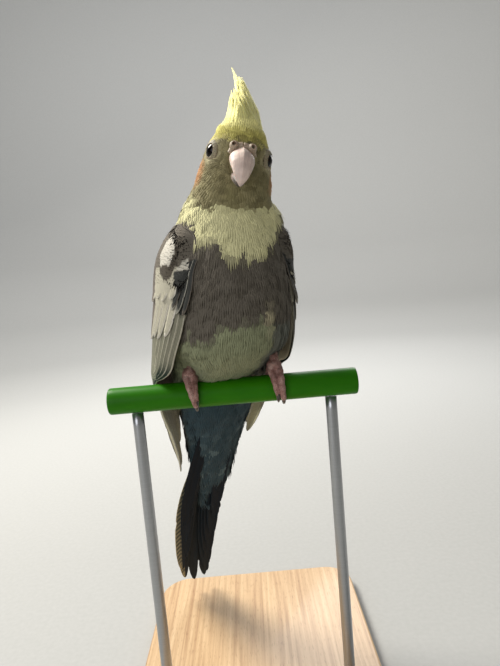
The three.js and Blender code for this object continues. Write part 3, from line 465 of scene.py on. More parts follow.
def marking_at(straight, angle):
    """The plumage colour at places of the straight bird, given with their angle from the middle of the back."""
    z = straight[..., 2]
    side = 180 - angle
    streak = ragged(angle * 0.8, z * 0.12, 3) + 0.8 * ragged(angle * 2.4, z * 0.1, 4)
    dither = np.random.default_rng(8).uniform(-1, 1, z.shape)
    blotch = ragged(straight[..., 0] * 0.7, z * 0.5, 5)

    def blend(base, name, share):
        return base * (1 - share[..., None]) + TONE[name] * share[..., None]
    colour = np.broadcast_to(TONE["breast"], z.shape + (4,)).copy()
    colour = blend(colour, "breast dark", smooth(blotch, -0.2, 0.9))
    colour = blend(colour, "back", smooth(np.abs(side), 95, 125))
    belly_top = 33 - 5.5 * smooth(-side, 24, 32) + 2.6 * streak
    belly = (1 - smooth(z, belly_top - 1.2, belly_top + 1.2)) * (1 - smooth(side, 17 + 3 * streak, 24 + 3 * streak))
    belly = belly * (1 - smooth(-side, 78, 100))
    colour = blend(colour, "belly", belly)
    flank = (1 - smooth(z, 30, 34)) * smooth(side, 17 + 3 * streak, 24 + 3 * streak)
    colour = blend(colour, "flank", flank)
    tuft = np.exp(-((side - 15) / 3.5) ** 2 - ((z - 34) / 4.5) ** 2)
    colour = blend(colour, "pale tuft", np.clip(tuft * 1.2, 0, 1) * 0.8)
    under = 1 - smooth(z, -8, 2)
    colour = blend(colour, "vent", under * smooth(np.abs(side), 110, 80))
    wisp = smooth(ragged(angle * 1.6, z * 0.25, 12) + 0.7 * dither, 0.3, 1.4)
    colour = blend(colour, "vent light", under * wisp * 0.55)
    colour = blend(colour, "rump", under * smooth(np.abs(side), 80, 110))
    low = 57.5 + 0.00416 * np.abs(side + 3) ** 2.05 + 4.4 * np.exp(-((side + 31) / 7) ** 2) + 2.6 * streak
    low = np.minimum(low, 73 + 1.5 * streak)
    high = 78.3 + 3.2 * smooth(-side, 45, 70) + 1.3 * smooth(side, 45, 70) + 1.2 * streak
    colour = blend(colour, "bib", smooth(z, low - 1.5, low + 1.5) * (1 - smooth(np.abs(side), 118, 140)))
    face = smooth(z + 0.9 * dither, high - 0.9, high + 0.9)
    colour = blend(colour, "olive face", face)
    colour = blend(colour, "back", smooth(z, 72, 76) * smooth(np.abs(side), 100, 128) * 0.55)
    strand = smooth(ragged(angle * 2, z * 0.5, 9) * 0.5 + 1.2 * dither, -0.2, 1.0)
    colour = blend(colour, "pale face", face * strand * 0.75)
    fleck = smooth(ragged(angle * 5, z * 0.9, 10) * 0.5 - 1.2 * dither, 0.0, 1.2)
    colour = blend(colour, "dark face", face * fleck * 0.5)
    colour = blend(colour, "throat", face * np.exp(-((side + 8) / 7) ** 2) * (1 - smooth(z, 86, 91)) * 0.55)
    yellow = smooth(z + 1.3 * dither + 0.9 * streak + 1.5 * smooth(np.abs(side), 30, 80), 104.4, 106.8)
    yellow = yellow * (1 - smooth(straight[..., 1] + dither, -8, -1))
    colour = blend(colour, "forehead", yellow)
    colour = blend(colour, "crown", smooth(z, 109, 112) * (1 - smooth(straight[..., 1], -6, 2)))
    brow = np.exp(-((z - 107.3 - 1.4 * streak) / 2.0) ** 2) * (1 - smooth(np.abs(side), 30, 62))
    colour = blend(colour, "brow", np.clip(brow * (0.62 + 1.3 * dither), 0, 1) * 0.8)
    cheek = near(straight, CHEEK_AT, 8.0) * (z < 99)
    colour = blend(colour, "cheek", np.clip(1.6 * cheek, 0, 1) * 0.85)
    ring = near(straight, EYE_AT + EYE_OUT * 3.4, 6.4)
    return np.clip(blend(colour, "eye ring", np.clip(2.2 * ring, 0, 1) * 0.8), 0, 1)


def skin_rows():
    """Rings of the straight skin from the tail cone to the crown: section height, true height and share."""
    low = np.linspace(-75, CROWN_Z, SKIN_LEVELS)
    rows = [(z, z, 1.0) for z in low]
    for i in range(1, DOME_STEPS + 1):
        a = np.radians(88 * i / DOME_STEPS)
        rows.append((CROWN_Z, CROWN_Z + CROWN_HEIGHT * np.sin(a), np.cos(a)))
    return np.array(rows)


rows = skin_rows()
angles = np.linspace(0, 360, SKIN_SIDES, endpoint=False)
outer = surface_at(TRUNK, rows[:, :1], angles[None])
centre = np.zeros_like(outer)
centre[..., 1] = sizes_at(TRUNK, rows[:, 0])[:, 1][:, None]
centre[..., 2] = rows[:, :1]
outer = centre + (outer - centre) * rows[:, 2][:, None, None]
outer[..., 2] = rows[:, 1][:, None]
outward = outer - centre
outward[..., 2] = np.where(rows[:, 1] > CROWN_Z, (rows[:, 1] - CROWN_Z) * 1.6, 0)[:, None]
outward /= np.maximum(np.linalg.norm(outward, axis=-1, keepdims=True), 1e-6)
swell = 0.5 * near(outer, CHEEK_AT, 10.5) + 0.7 * near(outer, BROW_AT, 5.5)
swell = swell - 1.5 * smooth(outer[..., 2], 102, 108) * (1 - smooth(outer[..., 2], 112, 115.5))
swell = swell - 1.1 * near(outer, LORE_AT, 5.0) - 0.8 * near(outer, EYE_AT + EYE_OUT * 4, 5.2)
# the left side of the neck is fuller, because the head turns away from it
from_front = (180 - angles[None] + 180) % 360 - 180
full = (np.exp(-((outer[..., 2] - FULL_Z) / FULL_SPREAD) ** 2) * smooth(from_front, 25, 70)
    * (1 - smooth(from_front, 120, 165)))
swell = swell + FULL_HEIGHT * full
straight = outer + outward * (swell - coat_depth(outer))[..., None]
# the belly feathers part round each leg, so the skin is drawn in behind the feet
skin_at = posed(straight)
parted = np.zeros(skin_at.shape[:2])

def foot_spot(foot_x, half_x, rise, half_z):
    """A soft spot on the skin round a foot, 1 at its middle, that lies a rise over the perch."""
    aside, above = (skin_at[..., 0] - foot_x) / half_x, (skin_at[..., 2] - PERCH_AT[2] - rise) / half_z
    return np.exp(-(aside ** 2 + above ** 2) ** 1.5)

for foot_x in FOOT_X.values():
    dent = foot_spot(foot_x, 6.0, 8.0, 9.0)
    skin_at[..., 1] += dent * np.clip(PERCH_AT[1] - 0.5 - skin_at[..., 1], 0, None)
    beside = foot_spot(foot_x, 7.5, 12.0, 11.0) * (skin_at[..., 1] < PERCH_AT[1] + 4)
    parted = np.maximum(parted, beside)
skin_points, skin_faces = loft(skin_at)

# Contour feathers: soft and matt, warm grey, olive and yellow. Their barbs catch the light as fine
# streaks, so each tone is broken up along the feather and from one feather to the next.
plumage, tree, shader = new_finish("contour plumage", Roughness=0.85, Sheen_Weight=0.06, Sheen_Roughness=0.5,
    Specular_IOR_Level=0.12)
marking = add_node(tree, "ShaderNodeAttribute", attribute_name="marking").outputs["Color"]
tone = add_node(tree, "ShaderNodeAttribute", attribute_name="tone").outputs["Fac"]
barbs = add_node(tree, "ShaderNodeTexNoise", {"Vector": grain_place(tree, (0.35, 0.35, 2.4)), "Scale": 1.0,
    "Detail": 3.0, "Roughness": 0.65})
level = add_node(tree, "ShaderNodeMapRange", {"Value": tone, "To Min": 0.93, "To Max": 1.07})
fine = add_node(tree, "ShaderNodeMapRange", {"Value": barbs.outputs["Fac"], "From Min": 0.3, "From Max": 0.7,
    "To Min": 0.88, "To Max": 1.1})
both = add_node(tree, "ShaderNodeMath", {0: level.outputs[0], 1: fine.outputs[0]}, operation="MULTIPLY")
shaded = add_node(tree, "ShaderNodeVectorMath", {0: marking, "Scale": both.outputs[0]}, operation="SCALE")
tree.links.new(shaded.outputs[0], shader.inputs["Base Color"])
set_bump(tree, shader, barbs.outputs["Fac"], 0.3, 0.08)

skin = new_piece("skin", skin_points, skin_faces, plumage, "plumage", ["torso", "neck", "head"])


def skin_values(grid):
    """A value for each ring point, with the mean of the end rings for the two hubs."""
    flat = grid.reshape(-1, *grid.shape[2:])
    return np.concatenate([flat, grid[:1].mean(1), grid[-1:].mean(1)]).astype(np.float32)


def store(mesh, name, kind, values, domain="POINT"):
    made = mesh.attributes.new(name, kind, domain)
    field = {"FLOAT": "value", "FLOAT_VECTOR": "vector", "FLOAT_COLOR": "color"}[kind]
    made.data.foreach_set(field, np.ascontiguousarray(values, np.float32).ravel())


store(skin.data, "tone", "FLOAT", np.full(len(skin_points), 0.35))
# the unwrap: turns round the body across, and rings from tail to crown upwards
ring_v = np.cumsum(np.r_[0, np.linalg.norm(np.diff(outer[:, SKIN_SIDES // 2], axis=0), axis=1)])
ring_v /= ring_v[-1]
count = len(rows) * SKIN_SIDES
unwrap = skin.data.uv_layers.new(name="OFBake")
corner_vertex = np.zeros(len(skin.data.loops), int)
skin.data.loops.foreach_get("vertex_index", corner_vertex)
column = np.where(corner_vertex < count, corner_vertex % SKIN_SIDES, 0).astype(float)
row = np.where(corner_vertex < count, np.minimum(corner_vertex, count - 1) // SKIN_SIDES, 0)
row = np.where(corner_vertex == count + 1, len(rows) - 1, row)
starts = np.zeros(len(skin.data.polygons), int)
sizes = np.zeros(len(skin.data.polygons), int)
skin.data.polygons.foreach_get("loop_start", starts)
skin.data.polygons.foreach_get("loop_total", sizes)
owner = np.repeat(np.arange(len(starts)), sizes)
widest = np.zeros(len(starts))
np.maximum.at(widest, owner, column)
column = np.where((widest[owner] > SKIN_SIDES / 2) & (column < 2), column + SKIN_SIDES, column)
uv = np.stack([0.02 + 0.96 * column / (SKIN_SIDES + 1), 0.02 + 0.96 * ring_v[row]], -1)
unwrap.data.foreach_set("uv", uv.astype(np.float32).ravel())

# the lie of the feathers: away from the bill over the head, then down and back over the body
from_bill = outer - (BILL_ROOT + [0, 1.0, 0])
from_bill /= np.linalg.norm(from_bill, axis=-1, keepdims=True)
down = np.zeros_like(outer) + [0.0, 0.32, -1.0]
head = smooth(outer[..., 2], 82, 96)[..., None]
below = (1 - smooth(outer[..., 2], 92, 104))[..., None]
lie = head * (from_bill + below * np.array([0, 0.25, -0.9])) + (1 - head) * down
lie /= np.linalg.norm(lie, axis=-1, keepdims=True)
STEP = 0.05
moved = posed(outer + lie * STEP) - posed(outer)
moved /= np.linalg.norm(moved, axis=-1, keepdims=True)
store(skin.data, "lie", "FLOAT_VECTOR", skin_values(moved))


def feather_zones(straight):
    """How far each place belongs to the body, to the vent, and to the rims of the bill and eyes."""
    z = straight[..., 2]
    small = near(straight, EYE_AT + EYE_OUT * 3.2, 8.0) + near(straight, BILL_ROOT, 10.5)
    return 1 - smooth(z, 76, 98), 1 - smooth(z, -30, 8), np.clip(small, 0, 1)

def feather_length(straight):
    """How long the feathers are at each place: shortest round the bill and eyes, longest at the vent."""
    body, vent, small = feather_zones(straight)
    return (3.6 + 4.6 * body + 3.0 * vent * body) * (1 - 0.55 * small)


# a feather shows its outer half, so each place has the colour of where its tip lies
shown = outer + lie * (0.42 * feather_length(outer))[..., None]
there = sizes_at(TRUNK, np.minimum(shown[..., 2], CROWN_Z))
past = shown[..., 1] - there[..., 1]
depth_there = np.where(past > 0, there[..., 4], there[..., 3])
shown_angle = np.degrees(np.arctan2(shown[..., 0] / there[..., 2], past / depth_there)) % 360
store(skin.data, "marking", "FLOAT_COLOR", skin_values(marking_at(shown, shown_angle)))

# Body feathers: thousands of small soft vanes with frayed tips lie over one another like tiles. They
# are shortest round the bill and eyes and longest on the flanks and under the tail.
def feather_blades(blades, rows, fan, thick):
    """One unit feather along +Y: tapering blades side by side, joined at the root and free at the tip."""
    parts, marks = [], []
    t = np.linspace(0, 1, rows + 1)[:-1]
    for i in range(blades):
        s = 0 if blades == 1 else 2 * i / (blades - 1) - 1
        reach = 1 - 0.2 * s * s - 0.07 * ((i * 7) % 3)
        middle = s * fan * (0.35 + 0.65 * np.sin(np.pi / 2 * np.minimum(1, 1.25 * t)))
        half = (1.25 / blades) * (0.7 + 0.5 * np.sin(np.pi * np.minimum(1, t + 0.15))) * (1 - 0.55 * t ** 3) / 2
        rise = np.sin(np.pi / 2 * np.minimum(1, 1.7 * t)) - 0.3 * t ** 2 - 0.25 * s * s * t
        y = reach * t - 0.06
        ring = np.stack([np.stack([middle - half, y, rise], -1), np.stack([middle, y, rise + thick * (1 - t)], -1),
            np.stack([middle + half, y, rise], -1)], 1)
        tip = [[s * fan * 1.06, reach, 0.66 - 0.25 * s * s]]
        points = np.concatenate([ring.reshape(-1, 3), tip])
        faces = grid_faces(rows, 3).tolist() + [[2, 1, 0]]
        n = (rows - 1) * 3
        faces += [[n, n + 1, n + 3], [n + 1, n + 2, n + 3], [n + 2, n, n + 3]]
        parts.append((points, faces))
        marks.append(np.concatenate([np.repeat(t, 3), [1.0]]))
    return joined(parts), np.concatenate(marks)


def unit_feather(name, *shape):
    """A unit feather as an object of its own, with its place along the feather, for the coat to repeat."""
    (points, faces), along = feather_blades(*shape)
    mesh = bpy.data.meshes.new(name)
    mesh.from_pydata(points.tolist(), [], faces)
    mesh.update()
    store(mesh, "along", "FLOAT", along)
    return bpy.data.objects.new(name, mesh)


def coat_tree():
    """Geometry Nodes: feathers spread evenly over a skin, each laid along the lie and sized by its place."""
    tree = bpy.data.node_groups.new("feathers over skin", "GeometryNodeTree")
    for name, kind in (("Skin", "Geometry"), ("Feather", "Object"), ("Finish", "Material"), ("Region", "String"),
            ("Spacing", "Float"), ("Sway", "Float"), ("Lift", "Float"), ("Patch", "Float"), ("Seed", "Int")):
        tree.interface.new_socket(name, in_out="INPUT", socket_type=f"NodeSocket{kind}")
    tree.interface.new_socket("Coat", in_out="OUTPUT", socket_type="NodeSocketGeometry")
    given = tree.nodes.new("NodeGroupInput").outputs
    named = {name: add_node(tree, "GeometryNodeInputNamedAttribute", {"Name": name}, data_type="FLOAT_VECTOR")
        for name in ("lie", "feather", "OFBake")}
    region = add_node(tree, "GeometryNodeInputNamedAttribute", {"Name": given["Region"]}, data_type="FLOAT")
    spread = add_node(tree, "ShaderNodeMath", {0: 6.0, 1: given["Spacing"]}, operation="DIVIDE")
    crowd = add_node(tree, "ShaderNodeMath", {0: spread.outputs[0], 1: given["Spacing"]}, operation="DIVIDE")
    spots = add_node(tree, "GeometryNodeDistributePointsOnFaces", {"Mesh": given["Skin"],
        "Distance Min": given["Spacing"], "Density Max": crowd.outputs[0],
        "Density Factor": region.outputs["Attribute"], "Seed": given["Seed"]}, distribute_method="POISSON")
    rooted = add_node(tree, "GeometryNodeStoreNamedAttribute", {"Geometry": spots.outputs["Points"],
        "Name": "root", "Value": named["OFBake"].outputs["Attribute"]}, data_type="FLOAT_VECTOR", domain="POINT")
    random_tone = add_node(tree, "FunctionNodeRandomValue", {"Seed": given["Seed"]}, data_type="FLOAT")
    based = add_node(tree, "GeometryNodeStoreNamedAttribute", {"Geometry": rooted.outputs[0],
        "Name": "ground", "Value": spots.outputs["Normal"]}, data_type="FLOAT_VECTOR", domain="POINT")
    toned = add_node(tree, "GeometryNodeStoreNamedAttribute", {"Geometry": based.outputs[0], "Name": "tone",
        "Value": random_tone.outputs[1]}, data_type="FLOAT", domain="POINT")
    laid = add_node(tree, "FunctionNodeAxesToRotation", {"Primary Axis": spots.outputs["Normal"],
        "Secondary Axis": named["lie"].outputs["Attribute"]}, primary_axis="Z", secondary_axis="Y")
    least = add_node(tree, "ShaderNodeMath", {0: given["Sway"], 1: -1.0}, operation="MULTIPLY")
    sway = add_node(tree, "FunctionNodeRandomValue", {2: least.outputs[0], 3: given["Sway"], "Seed": 7},
        data_type="FLOAT")
    lift = add_node(tree, "FunctionNodeRandomValue", {2: 0.0, 3: given["Lift"], "Seed": 11}, data_type="FLOAT")
    roll = add_node(tree, "ShaderNodeCombineXYZ", {"X": lift.outputs[1], "Z": sway.outputs[1]})
    bent = add_node(tree, "FunctionNodeRotateRotation", {"Rotation": laid.outputs[0],
        "Rotate By": roll.outputs[0]}, rotation_space="LOCAL")
    vary = add_node(tree, "FunctionNodeRandomValue", {2: 0.82, 3: 1.18, "Seed": 13}, data_type="FLOAT")
    size = add_node(tree, "ShaderNodeVectorMath", {0: named["feather"].outputs["Attribute"],
        "Scale": vary.outputs[1]}, operation="SCALE")
    shape = add_node(tree, "GeometryNodeObjectInfo", {"Object": given["Feather"]})
    laid_out = add_node(tree, "GeometryNodeInstanceOnPoints", {"Points": toned.outputs[0],
        "Instance": shape.outputs["Geometry"], "Rotation": bent.outputs[0], "Scale": size.outputs[0]})
    real = add_node(tree, "GeometryNodeRealizeInstances", {"Geometry": laid_out.outputs[0]})
    root = add_node(tree, "GeometryNodeInputNamedAttribute", {"Name": "root"}, data_type="FLOAT_VECTOR")
    along = add_node(tree, "GeometryNodeInputNamedAttribute", {"Name": "along"}, data_type="FLOAT")
    inside = add_node(tree, "ShaderNodeCombineXYZ", {"X": along.outputs["Attribute"],
        "Y": along.outputs["Attribute"]})
    patch = add_node(tree, "ShaderNodeVectorMath", {0: inside.outputs[0], "Scale": given["Patch"]}, operation="SCALE")
    at = add_node(tree, "ShaderNodeVectorMath", {0: root.outputs["Attribute"], 1: patch.outputs[0]}, operation="ADD")
    mapped = add_node(tree, "GeometryNodeStoreNamedAttribute", {"Geometry": real.outputs[0], "Name": "OFBake",
        "Value": at.outputs[0]}, data_type="FLOAT2", domain="CORNER")
    done = add_node(tree, "GeometryNodeSetMaterial", {"Geometry": mapped.outputs[0], "Material": given["Finish"]})
    tree.links.new(done.outputs[0], tree.nodes.new("NodeGroupOutput").inputs["Coat"])
    return tree


coats = coat_tree()
GROUND_SHARE = 0.6


def grow_coat(name, host, slot, **inputs):
    """One plain mesh of feathers over a host's skin."""
    grown = host.modifiers.new("coat", "NODES")
    grown.node_group = coats
    for socket in coats.interface.items_tree:
        if socket.in_out == "INPUT" and socket.name in inputs:
            grown[socket.identifier] = inputs[socket.name]
    host.update_tag()
    bpy.context.view_layer.update()
    mesh = bpy.data.meshes.new_from_object(host.evaluated_get(bpy.context.evaluated_depsgraph_get()))
    host.modifiers.remove(grown)
    mesh.name = name
    piece = bpy.data.objects.new(name, mesh)
    bpy.context.scene.collection.objects.link(piece)
    ground = np.zeros(len(mesh.vertices) * 3, np.float32)
    mesh.attributes["ground"].data.foreach_get("vector", ground)
    own = np.zeros(len(mesh.vertices) * 3, np.float32)
    mesh.vertex_normals.foreach_get("vector", own)
    mixed = ground.reshape(-1, 3) * GROUND_SHARE + own.reshape(-1, 3) * (1 - GROUND_SHARE)
    mixed /= np.maximum(np.linalg.norm(mixed, axis=1, keepdims=True), 1e-6)
    mesh.shade_smooth()
    mesh.normals_split_custom_set_from_vertices(mixed)
    for spare in ("root", "ground", "lie", "feather", "along", *REGIONS):
        if spare in mesh.attributes:
            mesh.attributes.remove(mesh.attributes[spare])
    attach(piece, "root")
    return piece


z = outer[..., 2]
body, vent, small = feather_zones(outer)
width = (2.1 + 1.9 * body + 0.8 * vent) * (1 - 0.4 * small)
length = feather_length(outer) * (1 - 0.75 * parted)
feather = np.stack([width, length, coat_depth(outer) * (0.95 - 0.6 * parted)], -1) * MM
store(skin.data, "feather", "FLOAT_VECTOR", skin_values(feather))
from_root = np.linalg.norm((outer - BILL_ROOT) / [1, 1, 1.2], axis=-1)
bare = (near(outer, EYE_AT + EYE_OUT * 3.6, 3.5) > 0.1) | (from_root < 4.3)
clear = np.where(bare & (z > 88), 0.0, 1.0)
under_wing = smooth(np.abs(angles[None] - 180), 66, 76) * smooth(z, 16, 24) * (1 - smooth(z, 62, 68))
under_wing = under_wing * (1 - smooth(np.abs(angles[None] - 180), 142, 150))
REGIONS = {"on_head": (z >= 84) * clear, "on_neck": (z >= 64) * (z < 84.6),
    "on_breast": (z >= 34) * (z < 64.6) * (1 - under_wing), "on_belly": (z >= 4) * (z < 34.6) * (1 - under_wing),
    "on_vent": (z < 4.6) * (z > -70)}
for name, mask in REGIONS.items():
    store(skin.data, name, "FLOAT", skin_values(mask.astype(float)))
small_feather = unit_feather("small feather", 4, 3, 0.5, 0.08)
large_feather = unit_feather("large feather", 6, 4, 0.5, 0.06)
SHARED = {"Finish": plumage, "Patch": 0.003, "Sway": 0.16, "Lift": 0.08}
# part of the coat, its feather, how far apart the feathers stand in mm, and the seed of their spread
COAT_ROWS = [("head", small_feather, 0.78, 1), ("neck", large_feather, 1.25, 2), ("breast", large_feather, 1.65, 3),
    ("belly", large_feather, 1.65, 8), ("vent", large_feather, 1.9, 4)]
for part, unit, spacing, seed in COAT_ROWS:
    grow_coat(f"plumage_{part}", skin, "plumage", Feather=unit, Region=f"on_{part}", Spacing=spacing * MM,
        Seed=seed, **SHARED)

# Wings: folded close, each a fleshy shoulder and arm under tiers of overlapping vanes. The long quills
# lie lowest, and the greater, median and lesser coverts and the alula lie over their roots like tiles.
GUIDE = np.array([(-70, 57, 15, 10, 7), (-45, 43, 18, 14, 10), (-25, 33, 23.4, 18, 12.5),
    (-10, 26, 28.2, 22, 16.5), (5, 19, 31.8, 28, 21), (20, 11.5, 31.5, 35, 26), (36, 6.5, 30, 38, 26.8),
    (50, 3, 28.3, 35.8, 26), (62, -0.8, 26.9, 31, 23.4), (70, -4, 23.9, 27, 20.4), (76, -6.5, 20, 22.8, 18)], float)
# height, leading edge and edge over the back in degrees, how far the core stands out, pile, core depth
SPAN = np.array([(-62, 68, 42, 0, 6, 0.7), (-40, 78, 26, 0, 5, 0.7), (-22, 82, 20, 0, 4, 0.7),
    (-8, 80, 16, -0.1, 3.4, 0.9), (2, 81, 15, -0.3, 3.1, 1.3), (6.5, 90, 15, -0.4, 3, 1.4),
    (9, 105, 15, -0.4, 2.9, 1.6), (12.5, 115, 16, -0.4, 2.7, 2), (20, 119.5, 17, -0.3, 2.4, 2.4),
    (30, 125.5, 20, 0, 2.1, 2.8),
    (39, 130, 23, 0.8, 1.8, 3), (48, 133, 28, 1.9, 1.5, 3), (54, 134, 34, 2.0, 1.2, 3), (60, 138, 42, 1.7, 0.9, 3),
    (66, 138, 54, 1.2, 0.5, 3), (70, 130, 62, 0.8, 0.2, 3), (73.5, 110, 74, 0.2, 0, 2)], float)
OUTLINES = {"quill": [(0, 0.6), (0.1, 0.85), (0.35, 1), (0.72, 0.95), (0.86, 0.8), (0.94, 0.56), (0.98, 0.33),
    (1, 0.06)],
    "covert": [(0, 0.7), (0.3, 0.95), (0.55, 1), (0.75, 0.94), (0.88, 0.77), (0.95, 0.54), (0.985, 0.3), (1, 0.06)],
    "plume": [(0, 0.2), (0.2, 0.6), (0.4, 1), (0.6, 0.92), (0.8, 0.66), (0.92, 0.36), (1, 0.05)]}
ACROSS = np.array([-1, -0.8, -0.55, -0.3, -0.09, 0, 0.09, 0.3, 0.55, 0.8, 1])
# name, outline, count, across, root, tip, width, lift, tilt, rows, shaft
WING_TIERS = [("primaries", "quill", 10, (0.04, 0.5), (38, 44), (-58, -40), (7.6, 9), (0.4, 0.3), 0.35, 56, -0.25),
    ("secondaries", "quill", 7, (0.55, 0.93), (44, 48), (-36, -18), (9.2, 10), (0.6, 0.4), 0.35, 48, -0.15),
    ("greater coverts", "covert", 12, (0.13, 0.92), (50, 52), (28, 25), (6.4, 8.2), (0.8, 1.4), 0.15, 34, 0.15),
    ("alula", "covert", 4, (0.02, 0.12), (59, 58), (38, 41), (3.6, 4.2), (-0.8, 2.2), 0.35, 30, -0.2),
    ("median coverts", "covert", 11, (0.15, 0.88), (54, 55), (45, 43), (5.8, 7.2), (0.9, 1.9), 0.2, 24, 0.1)]
VANE_THICK = 0.2
CORE_LEVELS, CORE_COLUMNS = 110, 80


def turn_of(rows, z, angle, width):
    """How many degrees round a level section a width takes."""
    s = sizes_at(rows, z)
    sin, cos = np.sin(np.radians(angle)), np.cos(np.radians(angle))
    depth = np.where(cos > 0, s[..., 4], s[..., 3])
    return np.degrees(width / np.hypot(s[..., 2] * cos, depth * sin))


def vane(place, shape, rows, seed, shaft=0.0, camber=0.35, thick=VANE_THICK):
    """One feather: a thin closed sheet with a raised shaft, cambered webs and a few splits between its barbs."""
    rng = np.random.default_rng(seed)
    t = 1 - (1 - np.linspace(0, 1, rows)) ** 1.35
    width = np.interp(t, *np.array(OUTLINES[shape]).T)
    webs = []
    for _ in range(2):
        web = width * (1 + 0.03 * ragged(t * 26, t * 0, int(rng.integers(10 ** 6))))
        for _ in range(int(rng.integers(1, 4))):
            at = rng.uniform(0.3, 0.96)
            web = web * (1 - rng.uniform(0.1, 0.3) * np.clip(1 - (t - at) / 0.045, 0, 1) * (t >= at))
        webs.append(web[:, None])
    s = ACROSS[None]
    side = np.where(s < 0, s * (1 - shaft) * webs[0], s * (1 + shaft) * webs[1]) - shaft * width[:, None]
    body = -camber * s ** 2 + 0 * side
    rib = np.exp(-(s / 0.07) ** 2) * 0.22 * (1 - t[:, None]) ** 0.7
    t = t[:, None] + 0 * side
    under, over = place(t, side, body - rib * 0.6), place(t, side, body + thick * (1 - 0.6 * s ** 2) + rib)
    columns = len(ACROSS)
    count = rows * columns
    rim = [*range(columns), *range(2 * columns - 1, count, columns), *range(count - 2, count - columns - 1, -1),
        *range(count - 2 * columns, 0, -columns)]
    faces = grid_faces(rows, columns, closed=False)
    belt = [[a, b, b + count, a + count] for a, b in zip(rim, rim[1:] + rim[:1])]
    points = np.concatenate([under.reshape(-1, 3), over.reshape(-1, 3)])
    marks = np.stack([s + 0 * t, t], -1).reshape(-1, 2)
    return points, faces.tolist() + (faces + count).tolist() + belt, np.concatenate([marks, marks])


def new_vanes(name, vanes, finish, slot, nodes=()):
    """One piece from rows of vane, inner colour, edge colour, length in mm, bars and edge width."""
    points, faces = joined([row[0][:2] for row in vanes])
    piece = new_piece(name, points, faces, finish, slot, nodes)
    inner, edge, place, trait, uv = [], [], [], [], []
    rng = np.random.default_rng(len(vanes))
    grid = int(np.ceil(np.sqrt(len(vanes))))
    for i, ((shape, _, marks), within, fringe, length, bars, border) in enumerate(vanes):
        n = len(marks)
        inner.append(np.broadcast_to(within, (n, 4)))
        edge.append(np.broadcast_to(fringe, (n, 4)))
        place.append(np.stack([marks[:, 0], marks[:, 1] * length, marks[:, 1]], -1))
        trait.append(np.stack([np.full(n, rng.uniform()), bars + np.zeros(n), np.full(n, border)], -1))
        over = np.arange(n) >= n // 2
        cell = np.stack([0.03 + 0.44 * (marks[:, 0] + 1) / 2 + 0.5 * over, 0.03 + 0.94 * marks[:, 1]], -1)
        uv.append((cell + [i % grid, i // grid]) / grid)
    mesh = piece.data
    store(mesh, "marking", "FLOAT_COLOR", np.concatenate(inner))
    store(mesh, "edging", "FLOAT_COLOR", np.concatenate(edge))
    store(mesh, "vane", "FLOAT_VECTOR", np.concatenate(place))
    store(mesh, "trait", "FLOAT_VECTOR", np.concatenate(trait))
    corners = np.zeros(len(mesh.loops), int)
    mesh.loops.foreach_get("vertex_index", corners)
    mesh.uv_layers.new(name="OFBake").data.foreach_set("uv", np.concatenate(uv)[corners].astype(np.float32).ravel())
    return piece


# Flight feathers: smooth firm webs with a soft sheen, marked by fine oblique barbs about 0.35 mm apart
# and a shaft. Pale fringes and bars follow the web of each feather.
flight, tree, shader = new_finish("flight feathers", Roughness=0.62, Sheen_Weight=0.03, Sheen_Roughness=0.4,
    Specular_IOR_Level=0.12)
read = {name: add_node(tree, "ShaderNodeAttribute", attribute_name=name)
    for name in ("marking", "edging", "vane", "trait")}
web = add_node(tree, "ShaderNodeSeparateXYZ", {"Vector": read["vane"].outputs["Vector"]}).outputs
own = add_node(tree, "ShaderNodeSeparateXYZ", {"Vector": read["trait"].outputs["Vector"]}).outputs
away = add_node(tree, "ShaderNodeMath", {0: web["X"]}, operation="ABSOLUTE").outputs[0]
slant = add_node(tree, "ShaderNodeMath", {0: away, 1: -2.6, 2: web["Y"]}, operation="MULTIPLY_ADD").outputs[0]
line = add_node(tree, "ShaderNodeMath", {0: slant, 1: 1 / 0.35}, operation="MULTIPLY").outputs[0]
shift = add_node(tree, "ShaderNodeMath", {0: own["X"], 1: 57.0}, operation="MULTIPLY").outputs[0]
barb_at = add_node(tree, "ShaderNodeCombineXYZ", {"X": line, "Y": away, "Z": shift}).outputs[0]
barbs = add_node(tree, "ShaderNodeTexNoise", {"Vector": barb_at, "Scale": 0.8, "Detail": 2.0, "Roughness": 0.6})
wear = add_node(tree, "ShaderNodeMath", {0: barbs.outputs["Fac"], 1: 0.24, 2: -0.12},
    operation="MULTIPLY_ADD").outputs[0]
edge_from = add_node(tree, "ShaderNodeMath", {0: 1.0, 1: own["Z"]}, operation="SUBTRACT").outputs[0]
worn = add_node(tree, "ShaderNodeMath", {0: away, 1: wear}, operation="ADD").outputs[0]
past = add_node(tree, "ShaderNodeMath", {0: worn, 1: edge_from}, operation="SUBTRACT").outputs[0]
sides = add_node(tree, "ShaderNodeMapRange", {"Value": past, "From Min": -0.04, "From Max": 0.08}).outputs[0]
tip_from = add_node(tree, "ShaderNodeMath", {0: own["Z"], 1: -0.35, 2: 1.0}, operation="MULTIPLY_ADD").outputs[0]
tip_worn = add_node(tree, "ShaderNodeMath", {0: web["Z"], 1: wear}, operation="ADD").outputs[0]
tip_past = add_node(tree, "ShaderNodeMath", {0: tip_worn, 1: tip_from}, operation="SUBTRACT").outputs[0]
tip = add_node(tree, "ShaderNodeMapRange", {"Value": tip_past, "From Min": -0.02, "From Max": 0.05}).outputs[0]
fringe = add_node(tree, "ShaderNodeMath", {0: sides, 1: tip}, operation="MAXIMUM").outputs[0]
chevron = add_node(tree, "ShaderNodeMath", {0: away, 1: -3.4, 2: web["Y"]}, operation="MULTIPLY_ADD").outputs[0]
bar_wave = add_node(tree, "ShaderNodeMath", {0: chevron, 1: 2 * np.pi / 4.2}, operation="MULTIPLY").outputs[0]
bar_sine = add_node(tree, "ShaderNodeMath", {0: bar_wave}, operation="SINE").outputs[0]
